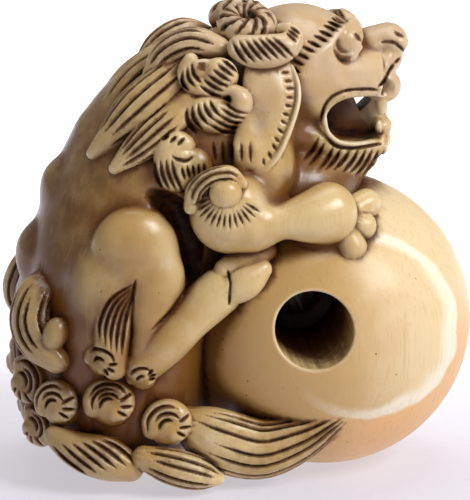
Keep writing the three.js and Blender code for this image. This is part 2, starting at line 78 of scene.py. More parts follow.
class Block:
    """Signed distances to the carved surface on a grid, negative inside, and how dark it is made there: the
    stain of the cuts, and painted shade in the deep hollows, the mouth and the cord hole.
    """

    def __init__(self, low, high, step):
        self.low = np.asarray(low, float)
        self.step = step
        self.shape = tuple(np.ceil((np.asarray(high) - self.low) / step).astype(int) + 1)
        self.distance = np.full(self.shape, BIG, np.float32)
        self.stain_and_shade = np.zeros(self.shape, np.float32)

    def window(self, low, high):
        """The slices of the grid between two corners, and the coordinates there along each axis."""
        first = np.clip(np.floor((np.asarray(low) - self.low) / self.step).astype(int), 0, self.shape)
        last = np.clip(np.ceil((np.asarray(high) - self.low) / self.step).astype(int) + 1, 0, self.shape)
        slices = tuple(slice(a, b) for a, b in zip(first, last))
        axes = [
            (self.low[i] + self.step * np.arange(first[i], last[i])).astype(np.float32) for i in range(3)
        ]
        return slices, np.meshgrid(*axes, indexing="ij", sparse=True)

    def add(self, slices, distance, blend=0.0, stain_and_shade=0.0):
        """Joins a form on, with a soft crease `blend` wide."""
        towards_back = self.distance[slices]
        self.stain_and_shade[slices] = np.where(distance < towards_back, stain_and_shade, self.stain_and_shade[slices])
        self.distance[slices] = soft_min(towards_back, distance, blend)

    def cut(self, slices, distance, blend=0.0, stain_and_shade=0.0):
        """Takes a form away, with its edge rounded `blend` wide."""
        self.distance[slices] = -soft_min(-self.distance[slices], distance, blend)
        if stain_and_shade:
            self.stain_and_shade[slices] = np.where(distance < STAIN_AND_SHADE_REACH, stain_and_shade, self.stain_and_shade[slices])

    def darken(self, slices, stain_and_shade):
        """Darkens what isn't darker already: stain in the cuts, and painted shade in the mouth and the cord
        hole.
        """
        self.stain_and_shade[slices] = np.maximum(self.stain_and_shade[slices], stain_and_shade)

    def finer(self, step):
        """The same block on a finer grid."""
        high = self.low + self.step * (np.array(self.shape) - 1)
        block = Block(self.low, high - step, step)
        field = self.distance
        for axis, count in enumerate(block.shape):
            field = resampled(field, axis, np.arange(count) * step / self.step)
        block.distance = field
        return block


def soft_min(a, b, blend):
    """The lesser of two distances, rounded off where they are about equal."""
    if blend <= 0:
        return np.minimum(a, b)
    overlap = np.maximum(blend - np.abs(a - b), 0)
    return np.minimum(a, b) - overlap * overlap / (4 * blend)


def resampled(field, axis, places):
    """A field read between its grid lines, on smooth cubics along one axis."""
    base = np.floor(places).astype(int)
    u = (places - base).astype(np.float32)
    weights = (
        -0.5 * u + u**2 - 0.5 * u**3,
        1 - 2.5 * u**2 + 1.5 * u**3,
        0.5 * u + 2 * u**2 - 1.5 * u**3,
        -0.5 * u**2 + 0.5 * u**3,
    )
    across = [1, 1, 1]
    across[axis] = -1
    total = 0
    for offset, weight in zip((-1, 0, 1, 2), weights):
        index = np.clip(base + offset, 0, field.shape[axis] - 1)
        total = total + np.take(field, index, axis) * weight.reshape(across)
    return total


def smooth_line(stations, spacing):
    """A Catmull-Rom line through stations of any width, with a point about every `spacing` millimetres."""
    stations = np.asarray(stations, float)
    padded = np.vstack([2 * stations[0] - stations[1], stations, 2 * stations[-1] - stations[-2]])
    pieces = []
    for a, b, c, d in zip(padded, padded[1:], padded[2:], padded[3:]):
        count = max(2, math.ceil(np.linalg.norm(c[:3] - b[:3]) / spacing))
        u = (np.arange(count) / count)[:, None]
        curve = 2 * b + (c - a) * u + (2 * a - 5 * b + 4 * c - d) * u**2 + (3 * b - a - 3 * c + d) * u**3
        pieces.append(curve / 2)
    return np.vstack([*pieces, stations[-1:]])


def unit(vector):
    """The same direction, one millimetre long."""
    return vector / np.linalg.norm(vector, axis=-1, keepdims=True)


def run_along(points):
    """The length of the line up to each of its points."""
    return np.concatenate([[0], np.cumsum(np.linalg.norm(np.diff(points, axis=0), axis=1))])


def dot(field, direction):
    """A field of vectors, held as three arrays, measured along one direction."""
    return field[0] * direction[0] + field[1] * direction[1] + field[2] * direction[2]


def blank(slices, value=0.0):
    """An array for a window of the grid."""
    return np.full(tuple(s.stop - s.start for s in slices), value, np.float32)


def within(inner, outer):
    """The slices of a small window, counted from the start of a wide one."""
    return tuple(slice(i.start - o.start, i.stop - o.start) for i, o in zip(inner, outer))


def mirrored(stations, side):
    """Stations or points given for the far side, on either side."""
    return [(x, side * y, *rest) for x, y, *rest in stations]


def turned(turn):
    """The rotation by angles in degrees about Z, then Y, then X, from a turn given as (X, Y, Z)."""
    matrix = np.eye(3)
    for axis, angle in enumerate(turn):
        a, b = (axis + 1) % 3, (axis + 2) % 3
        step = np.eye(3)
        step[a, a] = step[b, b] = math.cos(math.radians(angle))
        step[b, a] = math.sin(math.radians(angle))
        step[a, b] = -step[b, a]
        matrix = matrix @ step
    return matrix


def ellipsoid(block, centre, sizes, blend=0.0, turn=(0, 0, 0), cut=False, stain_and_shade=0.0):
    """A ball stretched to three half sizes and turned by angles in degrees about X, Y and Z."""
    centre = np.asarray(centre, float)
    reach = max(sizes) + 2
    slices, grid = block.window(centre - reach, centre + reach)
    rel = [g - c for g, c in zip(grid, centre)]
    scaled = steep = 0
    for size, axis in zip(sizes, turned(turn).T):
        along = dot(rel, axis)
        scaled = scaled + (along / size) ** 2
        steep = steep + (along / size**2) ** 2
    level = np.sqrt(scaled)
    distance = (level * (level - 1) / np.sqrt(steep + 1e-9)).astype(np.float32)
    (block.cut if cut else block.add)(slices, distance, blend, stain_and_shade)


def sweep_field(block, stations, facing, ends=1.0, margin=1.0, spacing=0.35):
    """A rounded form drawn along a smooth line through stations [x, y, z, across, up]: its window, its
    distances, and for each point there the share of the length, the angle round the section, with a quarter
    turn facing `facing`, and the girth."""
    line = smooth_line(stations, spacing)
    points, sizes = line[:, :3], np.maximum(line[:, 3:], THINNEST)
    tangents = unit(np.gradient(points, axis=0))
    facing = np.asarray(facing, float)
    up = unit(facing - tangents * (tangents @ facing)[:, None])
    across = np.cross(up, tangents)
    run = run_along(points)
    share_at = run / run[-1]

    reach = sizes.max(axis=1) * max(1, ends) + margin
    widest = reach.max()
    slices, _ = block.window(points.min(axis=0) - widest, points.max(axis=0) + widest)
    distance = blank(slices, BIG)
    share, angle, girth = (blank(slices) for _ in range(3))

    steps = np.diff(points, axis=0)
    last = len(steps) - 1
    # In each piece of the line, u, v and w are the place across it, up and along it, in half sizes.
    for i, step in enumerate(steps):
        a, b = points[i], points[i + 1]
        near = max(reach[i], reach[i + 1])
        inner, grid = block.window(np.minimum(a, b) - near, np.maximum(a, b) + near)
        local = within(inner, slices)
        rel = [g - p for g, p in zip(grid, a)]
        s = np.clip(dot(rel, step) / (step @ step), 0, 1)
        rest = [r - s * d for r, d in zip(rel, step)]
        wide = dot(rest, across[i]) * (1 - s) + dot(rest, across[i + 1]) * s
        tall = dot(rest, up[i]) * (1 - s) + dot(rest, up[i + 1]) * s
        along = dot(rest, step / np.linalg.norm(step))
        size_a = sizes[i, 0] * (1 - s) + sizes[i + 1, 0] * s
        size_b = sizes[i, 1] * (1 - s) + sizes[i + 1, 1] * s
        u, v = wide / size_a, tall / size_b
        size_l = (np.sqrt(wide * wide + tall * tall) + 1e-4) / (np.sqrt(u * u + v * v) + 1e-4 / size_a)
        if i == 0:
            size_l = np.where(s == 0, size_b * ends, size_l)
        if i == last:
            size_l = np.where(s == 1, size_b * ends, size_l)
        w = along / size_l
        level = np.sqrt(u * u + v * v + w * w)
        steep = np.sqrt((u / size_a) ** 2 + (v / size_b) ** 2 + (w / size_l) ** 2) + 1e-6
        found = (level * (level - 1) / steep).astype(np.float32)
        # Beyond a flattened end, only the end piece counts.
        for end, far, way in ((0, run[i], -1), (last, run[-1] - run[i + 1], 1)):
            if ends < 1 and i != end and far < 1.5 * sizes[end].max():
                tip = points[0] if end == 0 else points[-1]
                out = sum(way * (g - t) * d for g, t, d in zip(grid, tip, steps[end]))
                found = np.where(out > 0, BIG, found)
        better = found < distance[local]
        distance[local] = np.where(better, found, distance[local])
        share[local] = np.where(better, share_at[i] + s * (share_at[i + 1] - share_at[i]), share[local])
        angle[local] = np.where(better, np.arctan2(v, u), angle[local])
        girth[local] = np.where(better, np.pi * (size_a + size_b), girth[local])
    return slices, distance, share, angle, girth


def sweep(block, stations, facing, blend=0.0, strokes=None, stain_and_shade=0.0, cut=False, **shape):
    """Adds a swept form, with hair strokes cut in it where `strokes` says, or cuts it away. `shape` takes
    the same extra values as sweep_field."""
    slices, distance, share, angle, girth = sweep_field(block, stations, facing, **shape)
    if strokes:
        skin = 0.8
        close = np.abs(distance) < skin
        stain_and_shade = np.zeros_like(distance)
        depth, stain_and_shade[close] = strokes(share[close], angle[close], girth[close])
        distance[close] += depth
    (block.cut if cut else block.add)(slices, distance, blend, stain_and_shade)


# --- Hair strokes ---


def strokes_along(rng, count, depth=0.28, ragged=0.25):
    """Tapered cuts that run the length of a form, `count` of them round it, between swelling strands."""
    shift = rng.uniform(-0.18, 0.18, count)
    start = rng.uniform(0, ragged, count)
    end = 1 - rng.uniform(0, ragged, count)
    width, swell, fading = 0.21, 0.03, 0.15

    def cuts(share, angle, girth):
        phase = angle / (2 * np.pi) * count
        which = np.round(phase).astype(int) % count
        pitch = girth / count
        off = np.abs(phase - np.round(phase) - shift[which]) * pitch
        reach = np.minimum(width, 0.4 * pitch)
        fade = np.clip((share - start[which]) / fading, 0, 1) * np.clip((end[which] - share) / fading, 0, 1)
        line = np.clip(1 - (off / (reach * (0.4 + 0.6 * fade) + 1e-6)) ** 2, 0, 1) ** 2 * fade
        strand = swell * np.cos(2 * np.pi * (phase - 0.5)) * np.minimum(1, pitch / 0.6)
        return (depth * line + strand).astype(np.float32), line

    return cuts


def strokes_across(rng, pitch, length, depth, slant, centre, spread):
    """Tapered cuts across a form of a given length, over the stretch of its section round `centre`."""
    count = max(2, round(length / pitch))
    width, swell, ragged = 0.2, 0.025, 30
    shift = rng.uniform(-0.15, 0.15, count + 1)
    half = np.radians(spread / 2 - rng.uniform(0, ragged, count + 1))

    def cuts(share, angle, _girth):
        off_centre = (angle - math.radians(centre) + np.pi) % (2 * np.pi) - np.pi
        phase = share * count + slant * off_centre
        which = np.clip(np.round(phase).astype(int), 0, count)
        off = np.abs(phase - np.round(phase) - shift[which]) * pitch
        fade = np.clip((half[which] - np.abs(off_centre)) / 0.5, 0, 1)
        line = np.clip(1 - (off / (width * (0.4 + 0.6 * fade))) ** 2, 0, 1) ** 2 * fade
        strand = swell * np.cos(2 * np.pi * (phase - 0.5))
        return (depth * line + strand).astype(np.float32), line

    return cuts


def cut_from(side):
    """The direction that details on one side are cut from: a little from above and behind."""
    return unit(np.array((-0.1, side, 0.25)))


def incise(block, paths, side, width=0.2, depth=0.28, tone=1.0, taper=0.35, reach=1.2, through=None):
    """Tapered cuts along paths, into whatever surface lies under them as seen from one side. They go in
    along `through`, and take in what lies up to `reach` before and behind the path."""
    through = cut_from(side) if through is None else through
    pad = width + reach * np.abs(through) + 0.1
    lines = [smooth_line(path, 0.3)[:, :3] for path in paths]
    ends = np.vstack(lines)
    slices, _ = block.window(ends.min(axis=0) - pad, ends.max(axis=0) + pad)
    cut = blank(slices)
    for line in lines:
        run = run_along(line)
        run /= run[-1]
        for i, (a, b) in enumerate(zip(line, line[1:])):
            inner, grid = block.window(np.minimum(a, b) - pad, np.maximum(a, b) + pad)
            local = within(inner, slices)
            flat = (b - a) - through * ((b - a) @ through)
            rel = [g - p for g, p in zip(grid, a)]
            depthwise = dot(rel, through)
            rel = [r - depthwise * t for r, t in zip(rel, through)]
            s = np.clip(dot(rel, flat) / (flat @ flat + 1e-9), 0, 1)
            gap = np.sqrt(sum((r - s * f) ** 2 for r, f in zip(rel, flat)))
            share = run[i] + s * (run[i + 1] - run[i])
            thin = np.clip(np.minimum(share, 1 - share) / taper, 0.02, 1) ** 0.5
            profile = np.clip(1 - (gap / (width * thin)) ** 2, 0, 1) ** 2 * thin
            cut[local] = np.maximum(cut[local], profile)
    block.distance[slices] += depth * cut
    block.darken(slices, cut**1.4 * tone)


def comb(block, side, y, first, last, count, **cuts):
    """A row of cuts from a first to a last one, both paths of (x, z) that lie `y` out from the middle."""
    paths = []
    for share in np.linspace(0, 1, count):
        x, z = ((1 - share) * np.array(first, float) + share * np.array(last, float)).T
        paths.append(np.column_stack([x, np.full(len(x), side * y), [lean(side, y, each) for each in z]]))
    incise(block, paths, side, **cuts)


# --- The flesh ---


def trunk(block):
    """The body from the rump up to the neck, and the chest behind the ball."""
    back = [
        [-9.4, 0, 3.9, 8.4, 6.8], [-9.4, 0, 13, 9.6, 8.2], [-8.2, 0, 20, 9, 7.9],
        [-4.6, 0, 26.8, 8.4, 7.6], [1.2, 0, 31, 7, 6],
    ]
    sweep(block, back, (-1, 0, 0.3), ends=0.6, margin=2.5)
    ellipsoid(block, (4.4, 0, 23.6), (5.9, 7, 4.6), blend=1.5)


def spine(block):
    """The knuckles of the backbone, which show all the way down the back."""
    for x, z, size in [(-11.4, 27.6, 1.4), (-14.1, 23.4, 1.8), (-16, 17.9, 2), (-16.4, 13.4, 1.6)]:
        ellipsoid(block, (x, 0, z), (size, 2.4, 1.3 * size), blend=0.9)


def thigh(block, side):
    """The mass of the haunch."""
    muscle = [[-10.8, 6.6, 13.4, 3.6, 3.2], [-10.5, 7.2, 17.2, 3.7, 3.2], [-9.8, 6.9, 19.6, 2.7, 2.7]]
    sweep(block, mirrored(muscle, side), (0, side, 0), blend=1, margin=2)


def knee(block, side):
    """The bent knee and the shank folded under it, leaf-shaped, with a deep hollow in front of it."""
    facing = (0, side, 0)
    hollow = [
        [-7.4, 9.4, 24.6, 0.8, 1], [-5.6, 8.8, 23, 1.2, 1.7],
        [-4.4, 8, 20.4, 1.3, 1.7], [-3.9, 7.8, 17.9, 1, 1.2],
    ]
    shank = [
        [-8.6, 8.6, 19.2, 3.2, 2], [-7.9, 8.8, 17.6, 3, 2], [-7.9, 9.1, 16, 2.3, 1.8],
        [-8.2, 9.4, 14.2, 1.3, 1.4], [-8.7, 9.7, 12.4, 0.8, 1.1],
    ]
    # The hollow is darkened as it is cut: painted shade, with stain.
    sweep(block, mirrored(hollow, side), facing, blend=0.4, cut=True, stain_and_shade=0.9)
    ellipsoid(block, (-8.9, side * 8.4, 20.1), (3.5, 2.15, 3.6), blend=0.3)
    sweep(block, mirrored(shank, side), facing, blend=0.4, spacing=0.2)


def hind_foot(block, side):
    """A foot with two long toes, set against the ball, and the lines that mark it off from the shank."""
    facing = (0, side, 0)
    foot = [
        [-8.4, 9.2, 11, 1.7, 1.8], [-6.5, 9.2, 12.8, 1.9, 2], [-4.8, 9.1, 14.4, 1.8, 1.9],
        [-3.2, 8.9, 15.8, 1.9, 1.9], [-2.2, 8.8, 16.6, 1.9, 1.8],
    ]
    near_toe = [[-1.9, 9.6, 16.6, 1.1, 0.9], [-0.2, 9.8, 17.5, 1.35, 1], [1.2, 9.4, 18.5, 0.8, 0.8]]
    far_toe = [[-1.6, 8.9, 18.3, 1.1, 1], [0.2, 8.7, 19.3, 1.3, 1.1], [1.6, 8.3, 19.8, 0.9, 0.9]]
    sweep(block, mirrored(foot, side), facing, blend=0.15, spacing=0.2)
    sweep(block, mirrored(far_toe, side), facing, blend=0.1)
    sweep(block, mirrored(near_toe, side), facing, blend=0.12)
    shank_line = [[-9, 10.6, 18.4], [-9.3, 10.6, 16.6], [-9.5, 10.6, 13]]
    foot_line = [[-5, 10.6, 17.6], [-6.3, 10.6, 15.6], [-8.2, 10.6, 13.7]]
    toe_line = [[-1.8, 10.6, 19], [-1.5, 10.6, 17.8], [-1.6, 10.6, 15.8]]
    incise(block, [mirrored(shank_line, side)], side, width=0.22, depth=0.3, taper=0.15)
    incise(block, [mirrored(toe_line, side)], side, width=0.18, depth=0.22, taper=0.15)
    incise(block, [mirrored(foot_line, side)], side, width=0.2, depth=0.15, tone=0.7)


def upper_arm(block, side):
    """The shoulder and what comes down from it."""
    arm = [[1.2, 5.2, 28.6, 2.8, 2.4], [1.2, 6.4, 26.2, 3, 2.6], [0.4, 7.2, 24.4, 3, 2.6]]
    sweep(block, mirrored(arm, side), (0, side, 0), blend=0.8, margin=2)


def forearm(block, side):
    """The round elbow and the arm that reaches forward to the ball."""
    ellipsoid(block, (1.3, side * 7.8, 26.3), (1.9, 1.3, 2.3), blend=0.3)
    ellipsoid(block, (-1.25, side * 8.5, 23.2), (3.35, 3.1, 3.5), blend=0.4)
    arm = [
        [0.6, 9.3, 22, 2, 2], [2.8, 9.4, 22.4, 1.45, 1.7],
        [5.2, 9, 22.6, 2.1, 2.1], [6.6, 8.4, 22.7, 2.55, 2.35],
    ]
    sweep(block, mirrored(arm, side), (0, side, 0), blend=0.8, spacing=0.2)


def paw(block, side):
    """Three round toes laid over the ball."""
    wrist = np.array((7.4, side * 8, 22.2))
    for x, y, z, size in [(10, 6.4, 23, 1.2), (9.5, 7.7, 21.4, 1.2), (8.5, 8.7, 19.9, 1.25)]:
        tip = np.array((x, side * y, z))
        root = (wrist + tip) / 2
        sweep(block, [[*root, size, size], [*tip, size, size]], (0.4, side, 0.4), ends=0.9, blend=0.1)


# --- The head ---


def head(block):
    """The skull, the muzzle with its flews, the jaw and the mass of the beard."""
    ellipsoid(block, (5, 0, 33), (5.6, 6.2, 5.15), blend=0.8)
    muzzle = [[7.4, 0, 33.1, 5, 2.6], [10, 0, 33.2, 3.6, 2], [11.7, 0, 33.3, 2.6, 1.7]]
    jaw = [
        [4.6, 0, 28.4, 5.1, 2.4], [8, 0, 27, 4.5, 1.6],
        [10.6, 0, 26.9, 3.4, 1.3], [12, 0, 27.3, 2, 1.2],
    ]
    sweep(block, muzzle, (0, 0, 1), ends=0.5, blend=0.8, margin=2)
    ellipsoid(block, (12.5, 0, 35), (1.6, 2, 1.5), blend=0.5)
    ellipsoid(block, (12.2, 0, 33.7), (1.45, 2.4, 1.5), blend=0.5)
    ellipsoid(block, (11.2, 0, 34.9), (1.5, 1.9, 1.3), blend=0.5)
    for side in (NEAR, FAR):
        flew = [
            [7.2, 4.2, 31.8, 0.7, 1.1], [9.2, 3.8, 32.1, 0.8, 1.2],
            [10.8, 3.1, 32.1, 0.8, 1.2], [11.9, 2.2, 32.1, 0.8, 1.2],
        ]
        sweep(block, mirrored(flew, side), (0, 0, 1), blend=0.6, margin=2)
    sweep(block, jaw, (-0.2, 0, 1), ends=0.6, blend=0.6, margin=2)
    beard = [[11, 0, 26.2, 2.6, 1.4], [8.8, 0, 25.4, 4, 2], [6, 0, 25.2, 4.8, 2.6]]
    sweep(block, beard, (0.5, 0, -0.8), ends=0.5, blend=0.8, margin=2)


def brow(block, side):
    """The brow ridge, with a short comb of cuts in the hair behind it."""
    crest = [
        [4.8, 6, 33.6, 0.4, 0.4], [5.7, 5.5, 34.7, 0.5, 0.55], [7, 4.8, 35.6, 0.5, 0.6],
        [8.1, 3.7, 36.4, 0.5, 0.6], [9.1, 2.2, 36.8, 0.5, 0.5], [9.9, 0.9, 36.4, 0.4, 0.4],
    ]
    ellipsoid(block, (8.8, side * 2, 35.9), (1.4, 1.8, 1.2), blend=0.5)
    sweep(block, mirrored(crest, side), (0.4, side * 0.5, 0.7), blend=0.4)
    line = smooth_line(mirrored(crest, side), 0.1)[:, :3]
    paths = []
    for share in np.linspace(0, 0.86, 11):
        start = line[int(share * (len(line) - 1))] + (-0.15, 0, 0.1)
        paths.append([start, start + (-1.3, 0, 0.7)])
    incise(block, paths, side, width=0.22, depth=0.3, taper=0.4)


def eye(block, side):
    """A round eye in a socket, over a cheek fold, with a lower lid and a cut for the pupil."""
    cheek = [[7, 5, 34.4, 0.5, 0.5], [7.2, 5, 33.3, 0.6, 0.55], [7.9, 4.7, 32, 0.5, 0.5]]
    lid = [
        [7.3, 4.4, 35.6, 0.25, 0.25], [7.8, 4.5, 34.8, 0.3, 0.3],
        [8.9, 4.2, 34.6, 0.3, 0.3], [9.7, 3.5, 35.2, 0.25, 0.25],
    ]
    pupil = mirrored([(9.2, 4.1, 36.55), (9.75, 3.9, 35.75)], side)
    under_lid = mirrored([(7.5, 4.6, 35.2), (8.1, 4.6, 34.5), (9.2, 4.2, 34.7)], side)
    ellipsoid(block, (8.9, side * 4.8, 35.4), (1.4, 0.95, 1.3), blend=0.5, cut=True)
    ellipsoid(block, (8.5, side * 3.6, 35.7), (1.3, 0.8, 1.15), blend=0.1, stain_and_shade=-0.3)
    sweep(block, mirrored(cheek, side), (0, side, 0), blend=0.7)
    sweep(block, mirrored(lid, side), (0, side, 0), blend=0.35)
    incise(block, [pupil], side, width=0.27, depth=0.15, tone=1.8)
    incise(block, [under_lid], side, width=0.4, depth=0.08, tone=0.75, taper=0.3)


def nose(block, side):
    """The wing of the nose, with its nostril, the fold behind it and the one below."""
    wing = [(11.4, 2.7, 35.5), (12.5, 2.5, 35.4), (13.3, 2.1, 34.8), (13.9, 1.5, 34.3)]
    fold = [(13.3, 1.5, 33.9), (12.7, 1.8, 33.4)]
    nostril = (13.15, side * 1.8, 35.9)
    ellipsoid(block, (12.85, side * 1.45, 35.15), (1.15, 0.85, 0.75), blend=0.2)
    ellipsoid(block, nostril, (0.32, 0.45, 0.16), blend=0.1, cut=True, turn=(0, 20, 0), stain_and_shade=0.8)
    incise(block, [mirrored(wing, side), mirrored(fold, side)], side, width=0.22, depth=0.25)


def lips(block, side):
    """A thin rim round the open mouth, marked off by a cut, and the flap of the upper lip in front."""
    upper = [
        [6.7, 4.75, 29.4, 0.2, 0.26], [6.75, 4.75, 30.2, 0.2, 0.28], [7.3, 4.7, 31, 0.2, 0.28],
        [8.2, 4.6, 31.45, 0.2, 0.28], [9.2, 4.25, 31.55, 0.2, 0.28], [10.7, 3.5, 31.4, 0.2, 0.28],
        [11.6, 2.8, 31.1, 0.2, 0.28],
    ]
    lower = [
        [6.7, 4.75, 29.6, 0.2, 0.28], [6.95, 4.75, 28.6, 0.2, 0.3], [7.7, 4.7, 27.8, 0.22, 0.3],
        [8.7, 4.4, 27.45, 0.22, 0.3], [9.7, 3.95, 27.35, 0.22, 0.3], [10.8, 3.3, 27.35, 0.22, 0.3],
        [12, 2, 27.2, 0.22, 0.3],
    ]
    flap_turn = (0, -8, 0)
    for lip in (upper, lower):
        sweep(block, mirrored(lip, side), (0.3, side, 0), blend=0.12)
    ellipsoid(block, (11.9, side * 1.6, 31.6), (1.5, 1.3, 1.4), blend=0.12, turn=flap_turn)
    ellipsoid(block, (12.15, side * 3, 31.6), (0.75, 0.6, 0.8), blend=0.15, cut=True, turn=flap_turn)
    above = [(6.45, 4.8, 29.4), *((x - 0.1, y, z + 0.33) for x, y, z, *_ in upper[1:])]
    below = [(x - 0.15, y, z - 0.33) for x, y, z, *_ in lower[1:]]
    front = [(11.2, 3.1, 31.75), (11.8, 2.8, 32.3), (12.3, 2.3, 33), (12.75, 1.9, 33.5)]
    paths = [mirrored(path, side) for path in (above, below, front)]
    incise(block, paths, side, width=0.2, depth=0.24, taper=0.12)


def teeth(block, side):
    """An upper fang, the lower lip's knob in front and a small lower fang."""
    fang = [(11.7, 2.2, 30.5, 0.5, 0.45), (11.75, 2.25, 29.5, 0.42, 0.4)]
    sweep(block, mirrored(fang, side), (0, side, 0), ends=0.5, blend=0.05, stain_and_shade=CLEAN)
    ellipsoid(block, (11.9, side, 28.2), (0.85, 1.1, 0.8), blend=0.2)
    ellipsoid(block, (11.5, side * 2.1, 28.3), (0.3, 0.3, 0.6), blend=0.08, stain_and_shade=CLEAN)


def beard_cuts(block, side):
    """Hair combed back under the jaw, in broad cuts that run from the lip towards the throat."""
    rim = smooth_line([[6.3, 4.9, 28.3], [7.6, 4.7, 27.4], [10, 3.8, 27], [12, 2, 26.4]], 0.1)
    rng = np.random.default_rng(3)
    paths = []
    for share in np.linspace(0, 1, 10):
        x, y, z = rim[int(share * (len(rim) - 1))]
        start = np.array((x, side * y, z))
        end = start + (-1.3 - rng.uniform(0, 0.3), 0, -1.9 - rng.uniform(0, 0.5))
        middle = (start + end) / 2 + (0.12, 0, -0.1)
        paths.append([start, middle, end])
    incise(block, paths, side, width=0.22, depth=0.3, reach=1.6)


def mouth_opening(block):
    """A deep mouth, open from side to side except where the tongue stands in it with its tip curled up."""
    slices, (x, y, z) = block.window((4, -9, 25), (17, 9, 34))
    back, taper_from, front, middle = 8.75, 10.5, 13.5, 29.4
    half_height, lips_close, cheek = 1.85, 1, 3.8
    share = np.clip((x - taper_from) / (front - taper_from), 0, 1)
    mouth = np.hypot(np.minimum(x - back, 0), z - middle - 0.3 * share) - (half_height - lips_close * share)
    block.cut(slices, np.broadcast_to(mouth, block.distance[slices].shape).astype(np.float32), blend=0.12)
    # The inside of the mouth is darker towards the middle: painted shade.
    block.darken(slices, np.where(mouth < 0.4, 0.95 * np.clip(cheek - np.abs(y), 0, 1), 0))

    root, dip, tip, bottom, half_width = 6.5, 10.05, 11.9, 26.5, 1.3
    ridge = 29.5 + np.where(x < dip, 2.4 * (dip - x), 0.95 * (x - dip))
    tongue = np.maximum((z - ridge) * 0.6, np.abs(y) - half_width)
    for wall in (x - tip, bottom - z, root - x):
        tongue = np.maximum(tongue, wall)
    block.add(slices, tongue.astype(np.float32), blend=0.15)


# --- The coat ---


def bun(block, side, centre, facing, radius, start=195, turns=0.72, cuts=3):
    """A fat lock that winds up over itself and hooks in at its end, with cuts that follow it round. It starts
    at an angle in degrees, taken from the front upwards, and winds down in front."""
    flat = 0.8
    out = unit(np.array(facing) * (1, side, 1))
    east = -side * unit(np.cross(UP, out))
    north = unit(UP - out * (out @ UP))
    centre = np.array(centre) * (1, side, 1)
    share = np.linspace(0, 1, 9)
    angle = math.radians(start) - turns * 2 * np.pi * share
    round_it = np.outer(np.cos(angle), east) + np.outer(np.sin(angle), north)
    reach = radius * (0.56 - 0.34 * share**1.6)
    half = radius * (0.38 + 0.12 * np.sin(np.pi * share**0.8) - 0.06 * share)
    middle = centre + round_it * reach[:, None] + np.outer(0.25 * radius * share**2, out)
    ellipsoid(block, centre - 0.3 * radius * out, (0.75 * radius,) * 3, blend=0.1)
    sweep(block, np.column_stack([middle, half, flat * half]), out, blend=0.06)

    front = middle + np.outer(half * flat, out)
    paths = []
    for i, offset in enumerate(np.linspace(-0.45, 0.55, cuts)):
        path = front + round_it * (offset * half)[:, None]
        paths.append(path[i % 2 : 6 - (i + 1) % 2])
    for i in (5, 6, 7):
        paths.append(front[i] + np.outer((0.95, -0.2), half[i] * round_it[i]))
    incise(block, paths, side, width=0.21, depth=0.34, taper=0.3, through=out, reach=0.8)


def lock(block, rng, stations, facing, strands=12, **cuts):
    """A swept form with strokes that run its length."""
    sweep(block, stations, facing, blend=0.1, strokes=strokes_along(rng, strands, **cuts))


def flipped(stations, side):
    """Stations given for the far side, on either side, leaning with the head."""
    return [[x, side * y, lean(side, y, z), *sizes] for x, y, z, *sizes in stations]


def lean(side, y, z):
    """The height of a place that lies `y` out: the head leans to the near side, so that what lies high on
    the far side sits a little lower."""
    neck, crown, slope = 24, 32, 0.2
    return z if side == NEAR else z - slope * y * min(1, max(0, (z - neck) / (crown - neck)))


def ear(block, side):
    """A flap that hangs over the neck, dished in the middle, with a raised front rim and a notched edge."""
    flap = [
        [2, 6.2, 34.5, 1.8, 0.6], [2, 7, 32.9, 2.2, 0.65], [1.9, 7.6, 31.1, 2.3, 0.7],
        [1.3, 8.2, 29.2, 2.2, 0.7], [0.6, 8.7, 27.7, 1.8, 0.65], [0.4, 8.9, 27, 1.2, 0.5],
    ]
    rim = [
        [3.9, 6.2, 34.2, 0.2, 0.3], [4.25, 6.8, 33.2, 0.22, 0.35], [4.3, 7.4, 32.1, 0.22, 0.38],
        [4, 7.9, 30.9, 0.22, 0.38], [3.3, 8.5, 29.2, 0.22, 0.36], [2.5, 9, 27.7, 0.24, 0.34],
        [1.5, 9.1, 26.6, 0.3, 0.3],
    ]
    out = (0.1, side, 0.2)
    sweep(block, flipped(flap, side), out, blend=0.15)
    ellipsoid(block, (1.6, side * 8.9, 30.9), (1.5, 0.75, 3), blend=0.4, turn=(side * 18, 0, 0), cut=True)
    sweep(block, flipped(rim, side), out, blend=0.15)
    line = smooth_line(flipped(rim, side), 0.1)[:, :3]
    notches = []
    for share in np.linspace(0.06, 0.97, 12):
        turn = math.radians(185 - 95 * share**1.5)
        start = line[int(share * (len(line) - 1))] + (-0.35, 0, 0.05)
        notches.append([start, start + 0.75 * np.array((math.cos(turn), 0, math.sin(turn)))])
    incise(block, notches, side, width=0.24, depth=0.26, taper=0.6)
    comb(block, side, 8.8, [(-2.7, 29), (-2.5, 27.2)], [(0.3, 28.9), (0.3, 27)], 5, depth=0.22)


def crown_curl(block, rng, side):
    """A ring-shaped curl on the top of the head, with cuts across it."""
    ring = []
    for angle in np.radians(np.arange(0, 361, 45)):
        east, north = 1.4 * math.cos(angle), 1.15 * math.sin(angle)
        ring.append([0.6 + east, 3.4 - 0.95 * north, 37.35 + 0.4 * north, 1.05, 1.05])
    cuts = strokes_across(rng, pitch=0.72, length=8.2, depth=0.3, slant=0.5, centre=90, spread=230)
    sweep(block, flipped(ring, side), (0, 0.45 * side, 0.9), blend=0.1, strokes=cuts)


